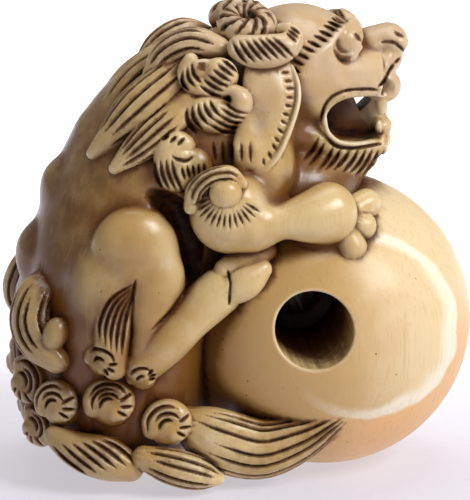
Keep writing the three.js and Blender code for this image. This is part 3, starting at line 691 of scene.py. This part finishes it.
def mane_buns(block, side):
    """The big buns of the mane, where locks swell, turn over and hook in on themselves."""
    front_bun = [
        [-0.4, 6.4, 36, 1, 0.9], [0.7, 6.7, 35.7, 1.3, 1.1], [2.2, 6.7, 35.7, 1.35, 1.1],
        [3.5, 6.4, 36, 1.1, 1], [4, 5.9, 36.6, 0.9, 0.85], [3.7, 5.6, 37.2, 0.65, 0.65],
        [3.1, 5.5, 37.25, 0.45, 0.45],
    ]
    back_hook = [
        [-4.2, 6.3, 35, 0.6, 0.6], [-4.5, 6.4, 34.1, 0.8, 0.8], [-4.1, 6.8, 33.3, 0.9, 0.9],
        [-3, 7.1, 32.9, 0.9, 0.9], [-1.8, 7.3, 32.8, 0.7, 0.8],
    ]
    low_hook = [
        [-1.6, 7.6, 30.6, 1, 1], [-0.5, 7.8, 31.3, 0.95, 1], [-0.3, 7.8, 32.1, 0.85, 0.95],
        [-0.8, 7.7, 32.7, 0.55, 0.7], [-1.5, 7.6, 32.8, 0.4, 0.5],
    ]
    neck_hook = [
        [-6.3, 8.5, 27.2, 1.1, 1], [-6.3, 8.4, 28.2, 1, 1], [-5.5, 8.3, 28.8, 0.95, 1],
        [-4.7, 8.2, 28.5, 0.75, 0.9], [-4.7, 8.2, 27.9, 0.45, 0.6],
    ]
    for x, y, z, sizes, turn in [
        (-1.9, 6.9, 33.9, (1.5, 1.15, 1.35), 30),
        (-3.2, 6.8, 33.9, (1.5, 0.7, 1.3), 0),
        (-2.6, 7.6, 30.8, (2.1, 1.2, 1.55), 15),
        (-5.5, 8.5, 26.8, (1.9, 1.2, 2), 10),
        (-4.1, 8.5, 26.7, (1.4, 1, 1.7), 0),
    ]:
        ellipsoid(block, (x, side * y, lean(side, y, z)), sizes, blend=0.12, turn=(0, turn, 0))
    for stations in (front_bun, back_hook, low_hook, neck_hook):
        sweep(block, flipped(stations, side), (-0.1, side, 0.25), blend=0.12)
    for x, y, z, size in [(-3.4, 7.8, 34.8, 0.35), (-1.6, 8.7, 32.2, 0.4), (0.8, 3.9, 38.3, 0.5)]:
        eye_of_curl = (x, side * y, lean(side, y, z))
        ellipsoid(block, eye_of_curl, (size, 0.6, size), blend=0.2, cut=True, stain_and_shade=1.2)


NECK_TURN = [(-6.1, 28.1), (-5.6, 27.7), (-4.8, 27.6), (-4.3, 28)]  # one cut, where the neck hook turns
# Rows of cuts that comb the buns: what strokes, how far out, how many, the first one and the last.
MANE_STROKES = [
    (BOLD, 7.9, 7, [(-1.1, 36.9), (-0.5, 35.8), (0.2, 34.9)], [(2, 37.2), (3, 36.3), (4, 35.3)]),
    (SLIM, 7.2, 3, [(3.3, 37.3), (4.2, 36.4)], [(3.6, 37.8), (4.5, 37.1)]),
    (BOLD, 7.9, 3, [(-5, 34.6), (-5, 33.6), (-4.4, 32.8)], [(-4.3, 35.2), (-4.1, 34.2), (-3.4, 33.3)]),
    (BOLD, 8.1, 6, [(-3.8, 33.4), (-2.8, 32.7), (-1.9, 32.4)], [(-2, 35.5), (-1.3, 34.9), (-0.6, 34.3)]),
    (BOLD, 8.9, 5, [(-4.8, 31.8), (-4.7, 30.6), (-3.9, 29.5)], [(-3, 32.4), (-2.7, 31.7), (-2.1, 30.9)]),
    (SLIM, 9.1, 5, [(-1.9, 32.2), (-0.8, 31.4), (0.2, 31.2)], [(-3.2, 30.5), (-1.9, 29.8), (-0.8, 29.7)]),
    (BOLD, 9.3, 3, [(-6.8, 29.2), (-6.2, 29.7)], [(-5.6, 28.7), (-5, 29.4)]),
    (BOLD, 9.8, 4, [(-7.4, 27.8), (-7.3, 26.6), (-6.8, 25.4)], [(-6.1, 27.9), (-5.8, 26.5), (-5.1, 25)]),
    (BOLD, 9.6, 1, NECK_TURN, NECK_TURN),
    (SLIM, 9.7, 5, [(-5.3, 27.2), (-5, 26)], [(-3.5, 27.4), (-3.5, 26.4)]),
]


def mane_strokes(block, side):
    for cuts, y, count, first, last in MANE_STROKES:
        comb(block, side, y, first, last, count, **cuts)


def mane_locks(block, rng, side):
    """The long straight locks that stream back over the shoulders, under the buns."""
    nape = [[-4.2, 1.8, 34.8, 1.7, 1.3], [-8.2, 2.2, 32, 2, 1.4], [-11.6, 2, 28, 0.6, 0.6]]
    shoulder = [[-4.4, 6.6, 31.4, 1.5, 1.3], [-7.6, 7.4, 29, 1.6, 1.2], [-10.4, 7.4, 26.6, 0.5, 0.5]]
    neck = [[-4.2, 4.6, 34, 1.8, 1.4], [-8.2, 5.6, 31, 2.1, 1.5], [-12, 5.4, 27.4, 0.5, 0.5]]
    crown = [
        [-1.9, 4.8, 35.6, 1, 1], [-3.9, 4.4, 35.9, 1.5, 1.3],
        [-5.8, 4, 35, 1.4, 1.2], [-7.2, 4, 33.6, 0.6, 0.7],
    ]
    for stations in (nape, shoulder, neck, crown):
        lock(block, rng, flipped(stations, side), (-0.5, side * 0.7, 0.5), depth=0.3)


def elbow_curl(block, rng, side):
    """A lock that wraps a round knob on the elbow, and a fan of cuts below it."""
    band = [
        [-4.5, 9.6, 23.9, 0.6, 0.7], [-4.1, 10.2, 25.4, 0.8, 0.8], [-3, 10.6, 26.4, 0.8, 0.8],
        [-1.6, 10.7, 26.6, 0.75, 0.8], [-0.6, 10.7, 25.9, 0.45, 0.5],
    ]
    lock(block, rng, flipped(band, side), (0, side, 0.3), 9)
    ellipsoid(block, (-1.9, side * 11, 25.2), (1.3, 1, 1.2), blend=0.04, stain_and_shade=CLEAN)
    centre = np.array((-1.8, side * 11.8, 25.5))
    fan = []
    for turn in np.radians(np.linspace(200, 326, 13)):
        ray = np.array((math.cos(turn), 0, math.sin(turn)))
        fan.append([centre + 1.5 * ray, centre + 3.2 * ray])
    incise(block, fan, side, depth=0.32, taper=0.7)


def skirt(block, rng, side):
    """The locks and small curls that the animal sits in."""
    facing = (-0.2, side, 0)
    shank_tuft = [
        [-9.2, 9.4, 17.9, 0.3, 0.5], [-10, 9.5, 16.9, 1.2, 1], [-10.7, 9.6, 14.9, 1.5, 1.2],
        [-10.9, 9.6, 12.6, 1.45, 1.3], [-10.7, 9.8, 10.8, 1, 1],
    ]
    back_lock = [
        [-15.4, 7.6, 4.6, 0.9, 0.9], [-13.6, 8.4, 3.6, 1.5, 1.4],
        [-11.5, 8.8, 3, 1.8, 1.7], [-9.5, 9.2, 2.3, 1.2, 1.2],
    ]
    middle_lock = [
        [-8.3, 9.8, 3.2, 1, 1.1], [-6.2, 10.1, 2.5, 1.5, 1.4],
        [-4.2, 10.1, 1.9, 1.4, 1.4], [-2.6, 9.8, 1.4, 0.6, 0.8],
    ]
    flame = [
        [-4.6, 8.4, 5.6, 1.3, 1.5], [-2.4, 8.5, 4.3, 2.6, 2.1], [1, 8.6, 3.3, 2.7, 2],
        [4.4, 9, 4.3, 2, 1.6], [7, 9.8, 5.9, 1, 0.9], [9.2, 10.6, 7.6, 0.3, 0.4],
    ]
    for stations in (shank_tuft, back_lock):
        sweep(block, flipped(stations, side), facing, blend=0.1)
    tuft_outer = [(-9, 18), (-11, 16.7), (-11.9, 14.8), (-11.9, 13)]
    tuft_inner = [(-9.3, 17), (-9.8, 15.4), (-10.1, 13.6), (-10.2, 11.9)]
    lock_start = [(-15.9, 4.6), (-14.8, 3.4), (-12.9, 1.9)]
    lock_end = [(-12, 5), (-10.4, 4.1), (-8.9, 2.7)]
    comb(block, side, 10.7, tuft_outer, tuft_inner, 5, taper=0.3, **BOLD)
    comb(block, side, 10, lock_start, lock_end, 6, taper=0.3, **BOLD)
    for stations, strands, out in [(middle_lock, 10, facing), (flame, 15, (0, side, -0.4))]:
        lock(block, rng, flipped(stations, side), out, strands, depth=0.3, ragged=0.12)
    bun(block, side, (-11.6, 9.3, 11.2), (-0.2, 1, 0), 1.7, start=170, cuts=2)
    bun(block, side, (-8.4, 9.6, 9.9), (0, 1, 0), 1.5, start=190, turns=0.6, cuts=2)
    bun(block, side, (-15, 7.2, 7), (-0.5, 0.85, 0.1), 2.3)
    bun(block, side, (-10.9, 9, 7.5), (-0.15, 1, 0.1), 2.45, cuts=4)
    bun(block, side, (-6.3, 9.4, 5.7), (0, 1, 0.1), 2.35)


def tail(block, rng):
    """A lock that lies down the back, between two tufts and two pairs of curls."""
    middle = [
        [-16.2, 0, 17, 1.5, 1], [-17, 0, 13.6, 2.2, 1.3],
        [-17, 0, 9, 1.7, 1.3], [-16.4, 0, 4.6, 1.6, 1.3],
    ]
    tuft = [
        [-15.9, 4.8, 16.6, 1.4, 0.7], [-16.8, 5.2, 15.6, 1.7, 1.2], [-17.2, 5.8, 13.8, 1.9, 1.4],
        [-16.6, 6.5, 12.2, 1.7, 1.4], [-15.2, 7.4, 11, 1.1, 1.2],
    ]
    lock(block, rng, middle, (-1, 0, 0))
    for side in (NEAR, FAR):
        bun(block, side, (-17.3, 3.6, 8.2), (-0.8, 0.8, 0), 2.3, start=120, turns=0.8)
        bun(block, side, (-16.5, 3.8, 4.5), (-0.8, 0.8, -0.1), 2.2, start=120, turns=0.8)
        lock(block, rng, flipped(tuft, side), (-0.7, side * 0.7, 0), 11, depth=0.3)
        ellipsoid(block, (-15.3, side * 7.8, 13.2), (1, 1, 1.4), blend=0.03, turn=(0, 15, 0), stain_and_shade=CLEAN)


# --- The ball and the cord channel ---


def from_ball_centre(grid):
    """How far each cell lies from the middle of the ball."""
    return np.sqrt(sum((g - c) ** 2 for g, c in zip(grid, BALL_CENTRE)))


def ball(block):
    """A true sphere, added on top of what it touches."""
    reach = BALL_RADIUS + 1
    slices, grid = block.window(BALL_CENTRE - reach, BALL_CENTRE + reach)
    block.add(slices, from_ball_centre(grid) - BALL_RADIUS)


def cord_channel(block):
    """The wide hole that takes the knot, with a softened rim, and the small one that it meets. Their walls
    are painted darker the deeper they go into the ball: painted shade.
    """
    x, z = CORD_HOLE["x"], CORD_HOLE["z"]
    back = CORD_HOLE["depth"] - BALL_RADIUS
    clear, overlap, shaded_wall, unshaded_rim = 3, 1, 0.4, 0.3
    for radius, start, end in [
        (CORD_HOLE["radius"], -BALL_RADIUS - clear, back),
        (CORD_EXIT_RADIUS, back - overlap, BALL_RADIUS + clear),
    ]:
        reach = radius + 1
        slices, grid = block.window((x - reach, start, z - reach), (x + reach, end, z + reach))
        wall = np.sqrt((grid[0] - x) ** 2 + (grid[2] - z) ** 2) - radius
        floor = np.abs(grid[1] - (start + end) / 2) - (end - start) / 2
        block.cut(slices, np.maximum(wall, floor).astype(np.float32), blend=0.3)
        sunk = BALL_RADIUS - unshaded_rim - from_ball_centre(grid)
        # Painted shade: the walls turn dark with depth, below a pale rim.
        block.darken(slices, np.where(wall < shaded_wall, 2 * np.clip(sunk, 0, 1), 0))


def underside(block):
    """The flat that the carving stands on."""
    slices, (_, _, z) = block.window(block.low, (99, 99, 1))
    block.cut(slices, np.broadcast_to(z, block.distance[slices].shape))


# --- The carving ---


def carved():
    """The whole block: the flesh first, on a coarse grid, and then all that needs the fine one."""
    margin = 1.5
    rng = np.random.default_rng(7)
    block = Block(part_low - margin, part_high + margin, COARSE_STEP)
    trunk(block)
    spine(block)
    for side in (NEAR, FAR):
        thigh(block, side)
        upper_arm(block, side)
    head(block)
    block = block.finer(FINE_STEP)
    mouth_opening(block)
    for side in (NEAR, FAR):
        knee(block, side)
    ball(block)
    tail(block, rng)
    for side in (NEAR, FAR):
        forearm(block, side)
        hind_foot(block, side)
        paw(block, side)
        for feature in (brow, eye, nose, lips, teeth, beard_cuts, ear):
            feature(block, side)
        mane_locks(block, rng, side)
        crown_curl(block, rng, side)
        mane_buns(block, side)
        mane_strokes(block, side)
        elbow_curl(block, rng, side)
        skirt(block, rng, side)
    cord_channel(block)
    underside(block)
    return block


def surface(block):
    """The block's surface as vertices in millimetres and four-cornered faces."""
    grid = openvdb.FloatGrid(BIG)
    grid.copyFromArray(np.clip(block.distance / block.step, -BIG, BIG))
    points, _, quads = grid.convertToPolygons(0.0, 0.0)
    return points * block.step + block.low, quads


def placed(name, data):
    """A new object in the scene."""
    thing = bpy.data.objects.new(name, data)
    bpy.context.scene.collection.objects.link(thing)
    return thing


def mesh_object(name, points, quads):
    """An object from points in millimetres, with its faces turned outwards."""
    mesh = bpy.data.meshes.new(name)
    mesh.vertices.add(len(points))
    mesh.vertices.foreach_set("co", (points * MM).astype(np.float32).ravel())
    mesh.loops.add(quads.size)
    mesh.loops.foreach_set("vertex_index", quads[:, ::-1].astype(np.int32).ravel())
    mesh.polygons.add(len(quads))
    mesh.polygons.foreach_set("loop_start", np.arange(0, quads.size, 4, dtype=np.int32))
    mesh.update(calc_edges=True)
    return placed(name, mesh)


def thinned(thing, most):
    """The same mesh in at most that many triangles, fine where it bends and coarse where it is smooth."""
    thing.modifiers.new("triangles", "TRIANGULATE")
    thin = thing.modifiers.new("thin", "DECIMATE")
    thin.ratio = most / (2 * len(thing.data.polygons))
    graph = bpy.context.evaluated_depsgraph_get()
    mesh = bpy.data.meshes.new_from_object(thing.evaluated_get(graph))
    thing.modifiers.clear()
    thing.data = mesh


def smeared(values, reach):
    """Each cell's mean over the box that reaches so many cells from it each way."""
    for axis in range(3):
        pad = [(reach + 1, reach) if i == axis else (0, 0) for i in range(3)]
        total = np.cumsum(np.pad(values, pad, mode="edge"), axis, dtype=np.float32)
        count = values.shape[axis]
        upper = np.take(total, np.arange(2 * reach + 1, 2 * reach + 1 + count), axis)
        values = (upper - np.take(total, np.arange(count), axis)) / (2 * reach + 1)
    return values


def read(block, values, points):
    """A block's values at points in millimetres, read between the grid lines."""
    places = (points - block.low) / block.step
    base = np.clip(np.floor(places).astype(int), 0, np.array(block.shape) - 2)
    u = np.clip(places - base, 0, 1)
    total = 0
    for corner in np.ndindex(2, 2, 2):
        weight = np.prod(np.where(corner, u, 1 - u), axis=1)
        index = base + corner
        total = total + weight * values[index[:, 0], index[:, 1], index[:, 2]]
    return total


def crowding(block, points, reach):
    """How much of the ivory round each point is solid, over the half that a flat face would have."""
    solid = np.clip(0.5 - block.distance / block.step, 0, 1)
    return read(block, smeared(solid, round(reach / block.step)), points) - 0.5


def weathering_and_shade(block, points, off_ball):
    """What the material reads at each vertex: the stain of the cuts, with painted shade in creases and
    hollows, worn edges, how deep in a big hollow the place lies, and whether it is on the ball."""
    stroke, crease, limb, body = (crowding(block, points, reach) for reach in (0.3, 1.0, 2.2, 4.5))
    stain_and_shade = np.clip(read(block, block.stain_and_shade, points), CLEAN, 2)
    halo = read(block, smeared(np.clip(block.stain_and_shade, 0, 1), 4), points)
    # The stroke and crease crowding darken creases and hollows: painted shade, laid over the stain of the
    # cuts.
    grime_and_shade = 0.7 * stain_and_shade + 0.9 * halo + np.clip(2.6 * stroke, 0, 1) + 0.8 * np.clip(2.4 * crease, 0, 1)
    return {
        "grime_and_shade": np.clip(grime_and_shade, 0, 1),
        "edge": np.clip(-2.6 * stroke, 0, 1),
        # How deep in a big hollow each point lies. The material paints shade there, with some stain.
        "hollowness": np.clip(1.2 * limb + 0.9 * body, -1, 1),
        "ball": np.clip(1.5 - off_ball / 0.08, 0, 1),
    }


def sculpture():
    """The carving as one mesh, true to the sphere where the ball shows."""
    block = carved()
    thing = mesh_object("netsuke", *surface(block))
    thinned(thing, MOST_TRIANGLES)
    mesh = thing.data
    mesh.polygons.foreach_set("use_smooth", np.ones(len(mesh.polygons), bool))
    points = np.empty(3 * len(mesh.vertices), np.float32)
    mesh.vertices.foreach_get("co", points)
    points = points.reshape(-1, 3) / MM

    rel = points - BALL_CENTRE
    radius = np.linalg.norm(rel, axis=1)
    off_ball = np.abs(radius - BALL_RADIUS)
    grid_error, above_floor = 0.05, 0.02
    round_part = (off_ball < grid_error) & (points[:, 2] > above_floor)
    points[round_part] = (BALL_CENTRE + rel * (BALL_RADIUS / radius)[:, None])[round_part]
    mesh.vertices.foreach_set("co", (points * MM).astype(np.float32).ravel())

    for name, values in weathering_and_shade(block, points, off_ball).items():
        attribute = mesh.attributes.new(name, "FLOAT", "POINT")
        attribute.data.foreach_set("value", values.astype(np.float32))
    return thing


# --- Materials ---


def colour(red, green, blue):
    """A colour given in the usual 0 to 255 of a screen."""
    return (*((np.array((red, green, blue)) / 255) ** 2.2).tolist(), 1)


# UMBER, RUST and SOOT lay the ivory's own stain, and painted shade as well.
CREAM, HONEY = colour(214, 187, 134), colour(188, 152, 92)
PALE, PEACH = colour(250, 238, 214), colour(236, 184, 124)
SMOKE, UMBER = colour(204, 176, 144), colour(110, 67, 16)
RUST, SOOT = colour(88, 48, 10), colour(24, 11, 3)
TAN, MILK = colour(202, 164, 104), colour(230, 204, 158)

# Two directions square to the tusk's length, which its growth rings follow on the ball.
GRAIN_RIGHT = np.array((0.9945, -0.1045, 0.0))
GRAIN_UP = np.array((0.025, 0.241, 0.970))


class Nodes:
    """A material's node tree, built with one call for each node."""

    def __init__(self, name):
        self.material = bpy.data.materials.new(name)
        self.material.use_nodes = True
        self.tree = self.material.node_tree
        self.shader = self.tree.nodes["Principled BSDF"]
        coordinates = self.tree.nodes.new("ShaderNodeTexCoord").outputs["Object"]
        self.place = self.vector("SCALE", coordinates, scale=1 / MM)

    def put(self, socket, value):
        if isinstance(value, bpy.types.NodeSocket):
            self.tree.links.new(value, socket)
        else:
            socket.default_value = value

    def set(self, name, value):
        self.put(self.shader.inputs[name], value)

    def math(self, operation, *values):
        node = self.tree.nodes.new("ShaderNodeMath")
        node.operation = operation
        for socket, value in zip(node.inputs, values):
            self.put(socket, value)
        return node.outputs[0]

    def product(self, first, *others):
        for each in others:
            first = self.math("MULTIPLY", first, each)
        return first

    def varied(self, value, noise, amount):
        """A value with a noise that runs from 0 to 1 added, by half the amount up or down."""
        return self.math("MULTIPLY_ADD", self.math("SUBTRACT", noise, 0.5), amount, value)

    def vector(self, operation, *values, scale=1.0):
        node = self.tree.nodes.new("ShaderNodeVectorMath")
        node.operation = operation
        if operation == "SCALE":
            node.inputs["Scale"].default_value = scale
        for socket, value in zip(node.inputs, values):
            self.put(socket, value)
        return node.outputs["Value" if operation in ("DOT_PRODUCT", "LENGTH") else "Vector"]

    def attribute(self, name):
        node = self.tree.nodes.new("ShaderNodeAttribute")
        node.attribute_name = name
        return node.outputs["Fac"]

    def noise(self, scale, detail=3.0, stretch=(1, 1, 1)):
        """Noise with `scale` waves in a millimetre."""
        node = self.tree.nodes.new("ShaderNodeTexNoise")
        self.put(node.inputs["Vector"], self.vector("MULTIPLY", self.place, stretch))
        node.inputs["Scale"].default_value = scale
        node.inputs["Detail"].default_value = detail
        return node.outputs["Fac"]

    def specks(self, scale, size, share):
        """Round dots in that share of the cells, `scale` cells to a millimetre."""
        node = self.tree.nodes.new("ShaderNodeTexVoronoi")
        self.put(node.inputs["Vector"], self.place)
        node.inputs["Scale"].default_value = scale
        pick = self.tree.nodes.new("ShaderNodeSeparateColor")
        self.put(pick.inputs[0], node.outputs["Color"])
        dots = self.ramp(node.outputs["Distance"], size, 0.4 * size)
        return self.product(dots, self.math("LESS_THAN", pick.outputs[0], share))

    def ramp(self, value, start, end, low=0.0, high=1.0):
        """From `low` at `start` to `high` at `end`, eased, and level beyond."""
        node = self.tree.nodes.new("ShaderNodeMapRange")
        node.interpolation_type = "SMOOTHSTEP"
        for socket, each in zip(node.inputs, (value, start, end, low, high)):
            self.put(socket, each)
        return node.outputs[0]

    def mix(self, share, first, second):
        node = self.tree.nodes.new("ShaderNodeMix")
        node.data_type = "RGBA"
        self.put(node.inputs[0], share)
        self.put(node.inputs[6], first)
        self.put(node.inputs[7], second)
        return node.outputs[2]

    def layered(self, base, layers):
        """A colour with others laid over it, each by its own share."""
        for share, tint in layers:
            base = self.mix(share, base, tint)
        return base


def ball_colour(nodes, patch):
    """The tusk's growth, as it shows on the ball: tan and milk in the heart, a pale ring round it, and peach
    bark beyond. Ring and bark fade out towards the chest. The heart is lighter towards the right, the key
    lamp's side, and umber lies on the far left: painted light and painted shade."""
    tusk_middle = BALL_CENTRE + BALL_RADIUS * (0.25 * GRAIN_RIGHT - 0.08 * GRAIN_UP)
    rel = nodes.vector("SUBTRACT", nodes.place, tuple(tusk_middle))
    right = nodes.vector("DOT_PRODUCT", rel, tuple(GRAIN_RIGHT))
    up = nodes.vector("DOT_PRODUCT", rel, tuple(GRAIN_UP))
    squares = [nodes.math("POWER", each, 2.0) for each in (right, up)]
    away = nodes.varied(nodes.math("SQRT", nodes.math("ADD", *squares)), nodes.noise(0.13, 2), 3.2)
    bark_from = 0.61 * BALL_RADIUS
    bark = nodes.ramp(away, bark_from, bark_from + 0.35)
    inside = nodes.math("SUBTRACT", 1.0, bark)
    ring = nodes.product(nodes.ramp(away, bark_from - 1.1, bark_from - 0.3), inside)
    # Tan to milk towards the right, the key lamp's side: painted light over the tusk's colour.
    heart_lit_to_right = nodes.mix(nodes.ramp(nodes.math("MULTIPLY_ADD", patch, 4.0, right), -1.0, 7.5), TAN, MILK)
    layers = [
        # Umber on the far left of the ball, away from the key lamp: painted shade.
        (nodes.ramp(right, -7.0, -15.0, 0, 0.3), UMBER),
        (nodes.product(bark, nodes.ramp(right, -6, 2)), nodes.mix(nodes.ramp(up, 5.0, -1.0), MILK, PEACH)),
        (nodes.product(ring, nodes.ramp(right, -6, 2, 0, 0.85)), PALE),
    ]
    return nodes.layered(heart_lit_to_right, layers)


def ivory():
    """Old polished ivory, in layers: cream and honey, the tusk's growth on the ball with painted light across
    it, umber and rust darker towards the back as painted shade with stain, smoke on the head, grain, rubbed
    edges, painted shade in creases and hollows, and dark stain left in every cut."""
    nodes = Nodes("ivory")
    grime_and_shade, edge, hollowness, on_ball = (nodes.attribute(each) for each in ("grime_and_shade", "edge", "hollowness", "ball"))
    cloud, patch = nodes.noise(0.16), nodes.noise(0.45, 5)
    grain, fine = nodes.noise(2.6, 2, (1, 1, 0.045)), nodes.noise(7.0, 2, (1, 1, 0.03))
    pores = nodes.math("MAXIMUM", nodes.specks(1.1, 0.13, 0.1), nodes.specks(0.45, 0.1, 0.12))
    behind = nodes.vector("DOT_PRODUCT", nodes.place, (-0.85, 0.0, -0.05))
    high = nodes.vector("DOT_PRODUCT", nodes.place, (0.3, 0.0, 1.0))

    # Umber and rust grow towards the back, the side turned from the key lamp: painted shade, with stain.
    towards_back = nodes.product(nodes.ramp(behind, 0.0, 12.0), nodes.ramp(patch, 0.2, 0.75, 0.5, 1.0))
    off_ball = nodes.math("SUBTRACT", 1.0, on_ball)
    back_shade_and_stain = nodes.product(towards_back, off_ball, nodes.ramp(hollowness, -0.35, -0.08, 0.4, 1.0))
    far_back_shade_and_stain = nodes.product(nodes.ramp(behind, 8.0, 13.5), nodes.ramp(hollowness, -0.4, 0.0, 0.25, 0.85))
    smoky = nodes.product(nodes.ramp(high, 29, 37), nodes.ramp(patch, 0.3, 0.6, 0.4, 0.9))
    # Umber in big hollows and in the valleys between limbs: painted shade, with some stain.
    hollow_shade_and_stain = nodes.math("MULTIPLY_ADD", on_ball, -0.15, nodes.varied(hollowness, patch, 0.3))
    streaky = nodes.varied(grime_and_shade, nodes.noise(1.6, 4), 0.45)
    layers = [
        (nodes.ramp(cloud, 0.35, 0.65), HONEY),
        (nodes.ramp(patch, 0.55, 0.8, 0, 0.35), PALE),
        (on_ball, ball_colour(nodes, patch)),
        (back_shade_and_stain, UMBER),
        (far_back_shade_and_stain, RUST),
        (smoky, SMOKE),
        (nodes.ramp(grain, 0.5, 0.75, 0, 0.22), HONEY),
        (nodes.ramp(fine, 0.55, 0.8, 0, 0.16), UMBER),
        (nodes.ramp(edge, 0.15, 0.7, 0, 0.45), PALE),
        (nodes.ramp(hollow_shade_and_stain, -0.17, 0.14, 0, 0.92), UMBER),
        # Rust and soot come from the cut stain and the crease darkening: the stain is the ivory's own, and
        # the darkening in creases is painted shade.
        (nodes.ramp(streaky, 0.06, 0.6, 0, 0.85), RUST),
        (nodes.ramp(streaky, 0.65, 1.15), SOOT),
        (nodes.product(pores, 0.75), RUST),
    ]
    nodes.set("Base Color", nodes.layered(CREAM, layers))

    roughness = nodes.math("MULTIPLY_ADD", patch, 0.14, nodes.ramp(grime_and_shade, 0.1, 0.9, 0.24, 0.7))
    nodes.set("Roughness", nodes.math("MULTIPLY_ADD", on_ball, 0.1, roughness))
    nodes.set("Specular IOR Level", nodes.ramp(grime_and_shade, 0.0, 1.0, 0.4, 0.1))
    for name, value in {
        "IOR": 1.54,
        "Coat Weight": 0.1,
        "Coat Roughness": 0.15,
        "Subsurface Weight": 0.15,
        "Subsurface Radius": (1.0, 0.6, 0.35),
        "Subsurface Scale": 0.7 * MM,
    }.items():
        nodes.set(name, value)
    bump = nodes.tree.nodes.new("ShaderNodeBump")
    bump.inputs["Strength"].default_value = 0.25
    bump.inputs["Distance"].default_value = 0.03 * MM
    height = nodes.math("MULTIPLY_ADD", pores, -1.5, nodes.math("MULTIPLY_ADD", patch, 0.5, fine))
    nodes.put(bump.inputs["Height"], height)
    nodes.set("Normal", bump.outputs[0])
    return nodes.material


def paper():
    """The pale paper of the studio, a little lilac underfoot and white behind. It glows, more behind than
    underfoot: painted light that also lifts the shadows on it.
    """
    nodes = Nodes("paper")
    away = nodes.vector("DOT_PRODUCT", nodes.place, (0.1, 1.0, 0.0))
    near, far = -20.0, 120.0
    lilac = nodes.mix(nodes.ramp(nodes.noise(0.8, 4), 0.3, 0.7), colour(144, 141, 150), colour(147, 144, 153))
    nodes.set("Base Color", nodes.mix(nodes.ramp(away, near, far), lilac, colour(250, 250, 252)))
    nodes.set("Roughness", 0.7)
    # The paper's glow is painted light: it lifts the floor's shadows and whitens it behind.
    nodes.set("Emission Color", colour(250, 246, 255))
    nodes.set("Emission Strength", nodes.ramp(away, near, far, 0.52, 0.8))
    return nodes.material


# --- Stage ---


def stage():
    """A sheet of paper, far wider than the carving."""
    half = 3.0
    corners = [(-half, -half, 0), (half, -half, 0), (half, half, 0), (-half, half, 0)]
    mesh = bpy.data.meshes.new("floor")
    mesh.from_pydata(corners, [], [(0, 1, 2, 3)])
    mesh.materials.append(paper())
    floor = placed("floor", mesh)


def lamp(name, place, size, power):
    """A square soft lamp, aimed at the middle of the carving."""
    light = bpy.data.lights.new(name, "AREA")
    light.size = size
    light.energy = power
    thing = placed(name, light)
    thing.location = place
    aim = Vector((0, 0, 0.018)) - Vector(place)
    thing.rotation_mode = "QUATERNION"
    thing.rotation_quaternion = aim.to_track_quat("-Z", "Y")


def lights():
    """A soft key lamp in front, a fill from above and a dim room."""
    world = bpy.data.worlds.new("studio")
    bpy.context.scene.world = world
    world.use_nodes = True
    background = world.node_tree.nodes["Background"]
    background.inputs["Color"].default_value = (1.0, 0.99, 0.98, 1)
    background.inputs["Strength"].default_value = 0.3
    lamp("key", (0.38, -0.33, 0.42), 0.26, 3.2)
    lamp("top", (0.05, 0.1, 0.5), 0.3, 0.9)
    bpy.context.scene.view_settings.view_transform = "Standard"


def camera():
    """A long lens on the near side, from a little above and a little behind."""
    azimuth, elevation = math.radians(-6), math.radians(14)
    distance, frame_height, aim_height = 0.35, 0.0415, 0.01726
    sensor = 36  # millimetres
    level = math.cos(elevation)
    back = Vector((math.sin(azimuth) * level, -math.cos(azimuth) * level, math.sin(elevation)))
    right = Vector((math.cos(azimuth), math.sin(azimuth), 0))
    up = back.cross(right)
    data = bpy.data.cameras.new("camera")
    data.sensor_width = sensor
    data.lens = sensor * distance / frame_height
    data.clip_start = 0.01
    thing = placed("camera", data)
    thing.location = up * aim_height + back * distance
    thing.rotation_mode = "QUATERNION"
    thing.rotation_quaternion = Matrix((right, up, back)).transposed().to_quaternion()
    bpy.context.scene.camera = thing


camera()
stage()
lights()
piece = sculpture()
piece.data.materials.append(ivory())
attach(piece, "root")
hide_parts("shishi_and_ball")
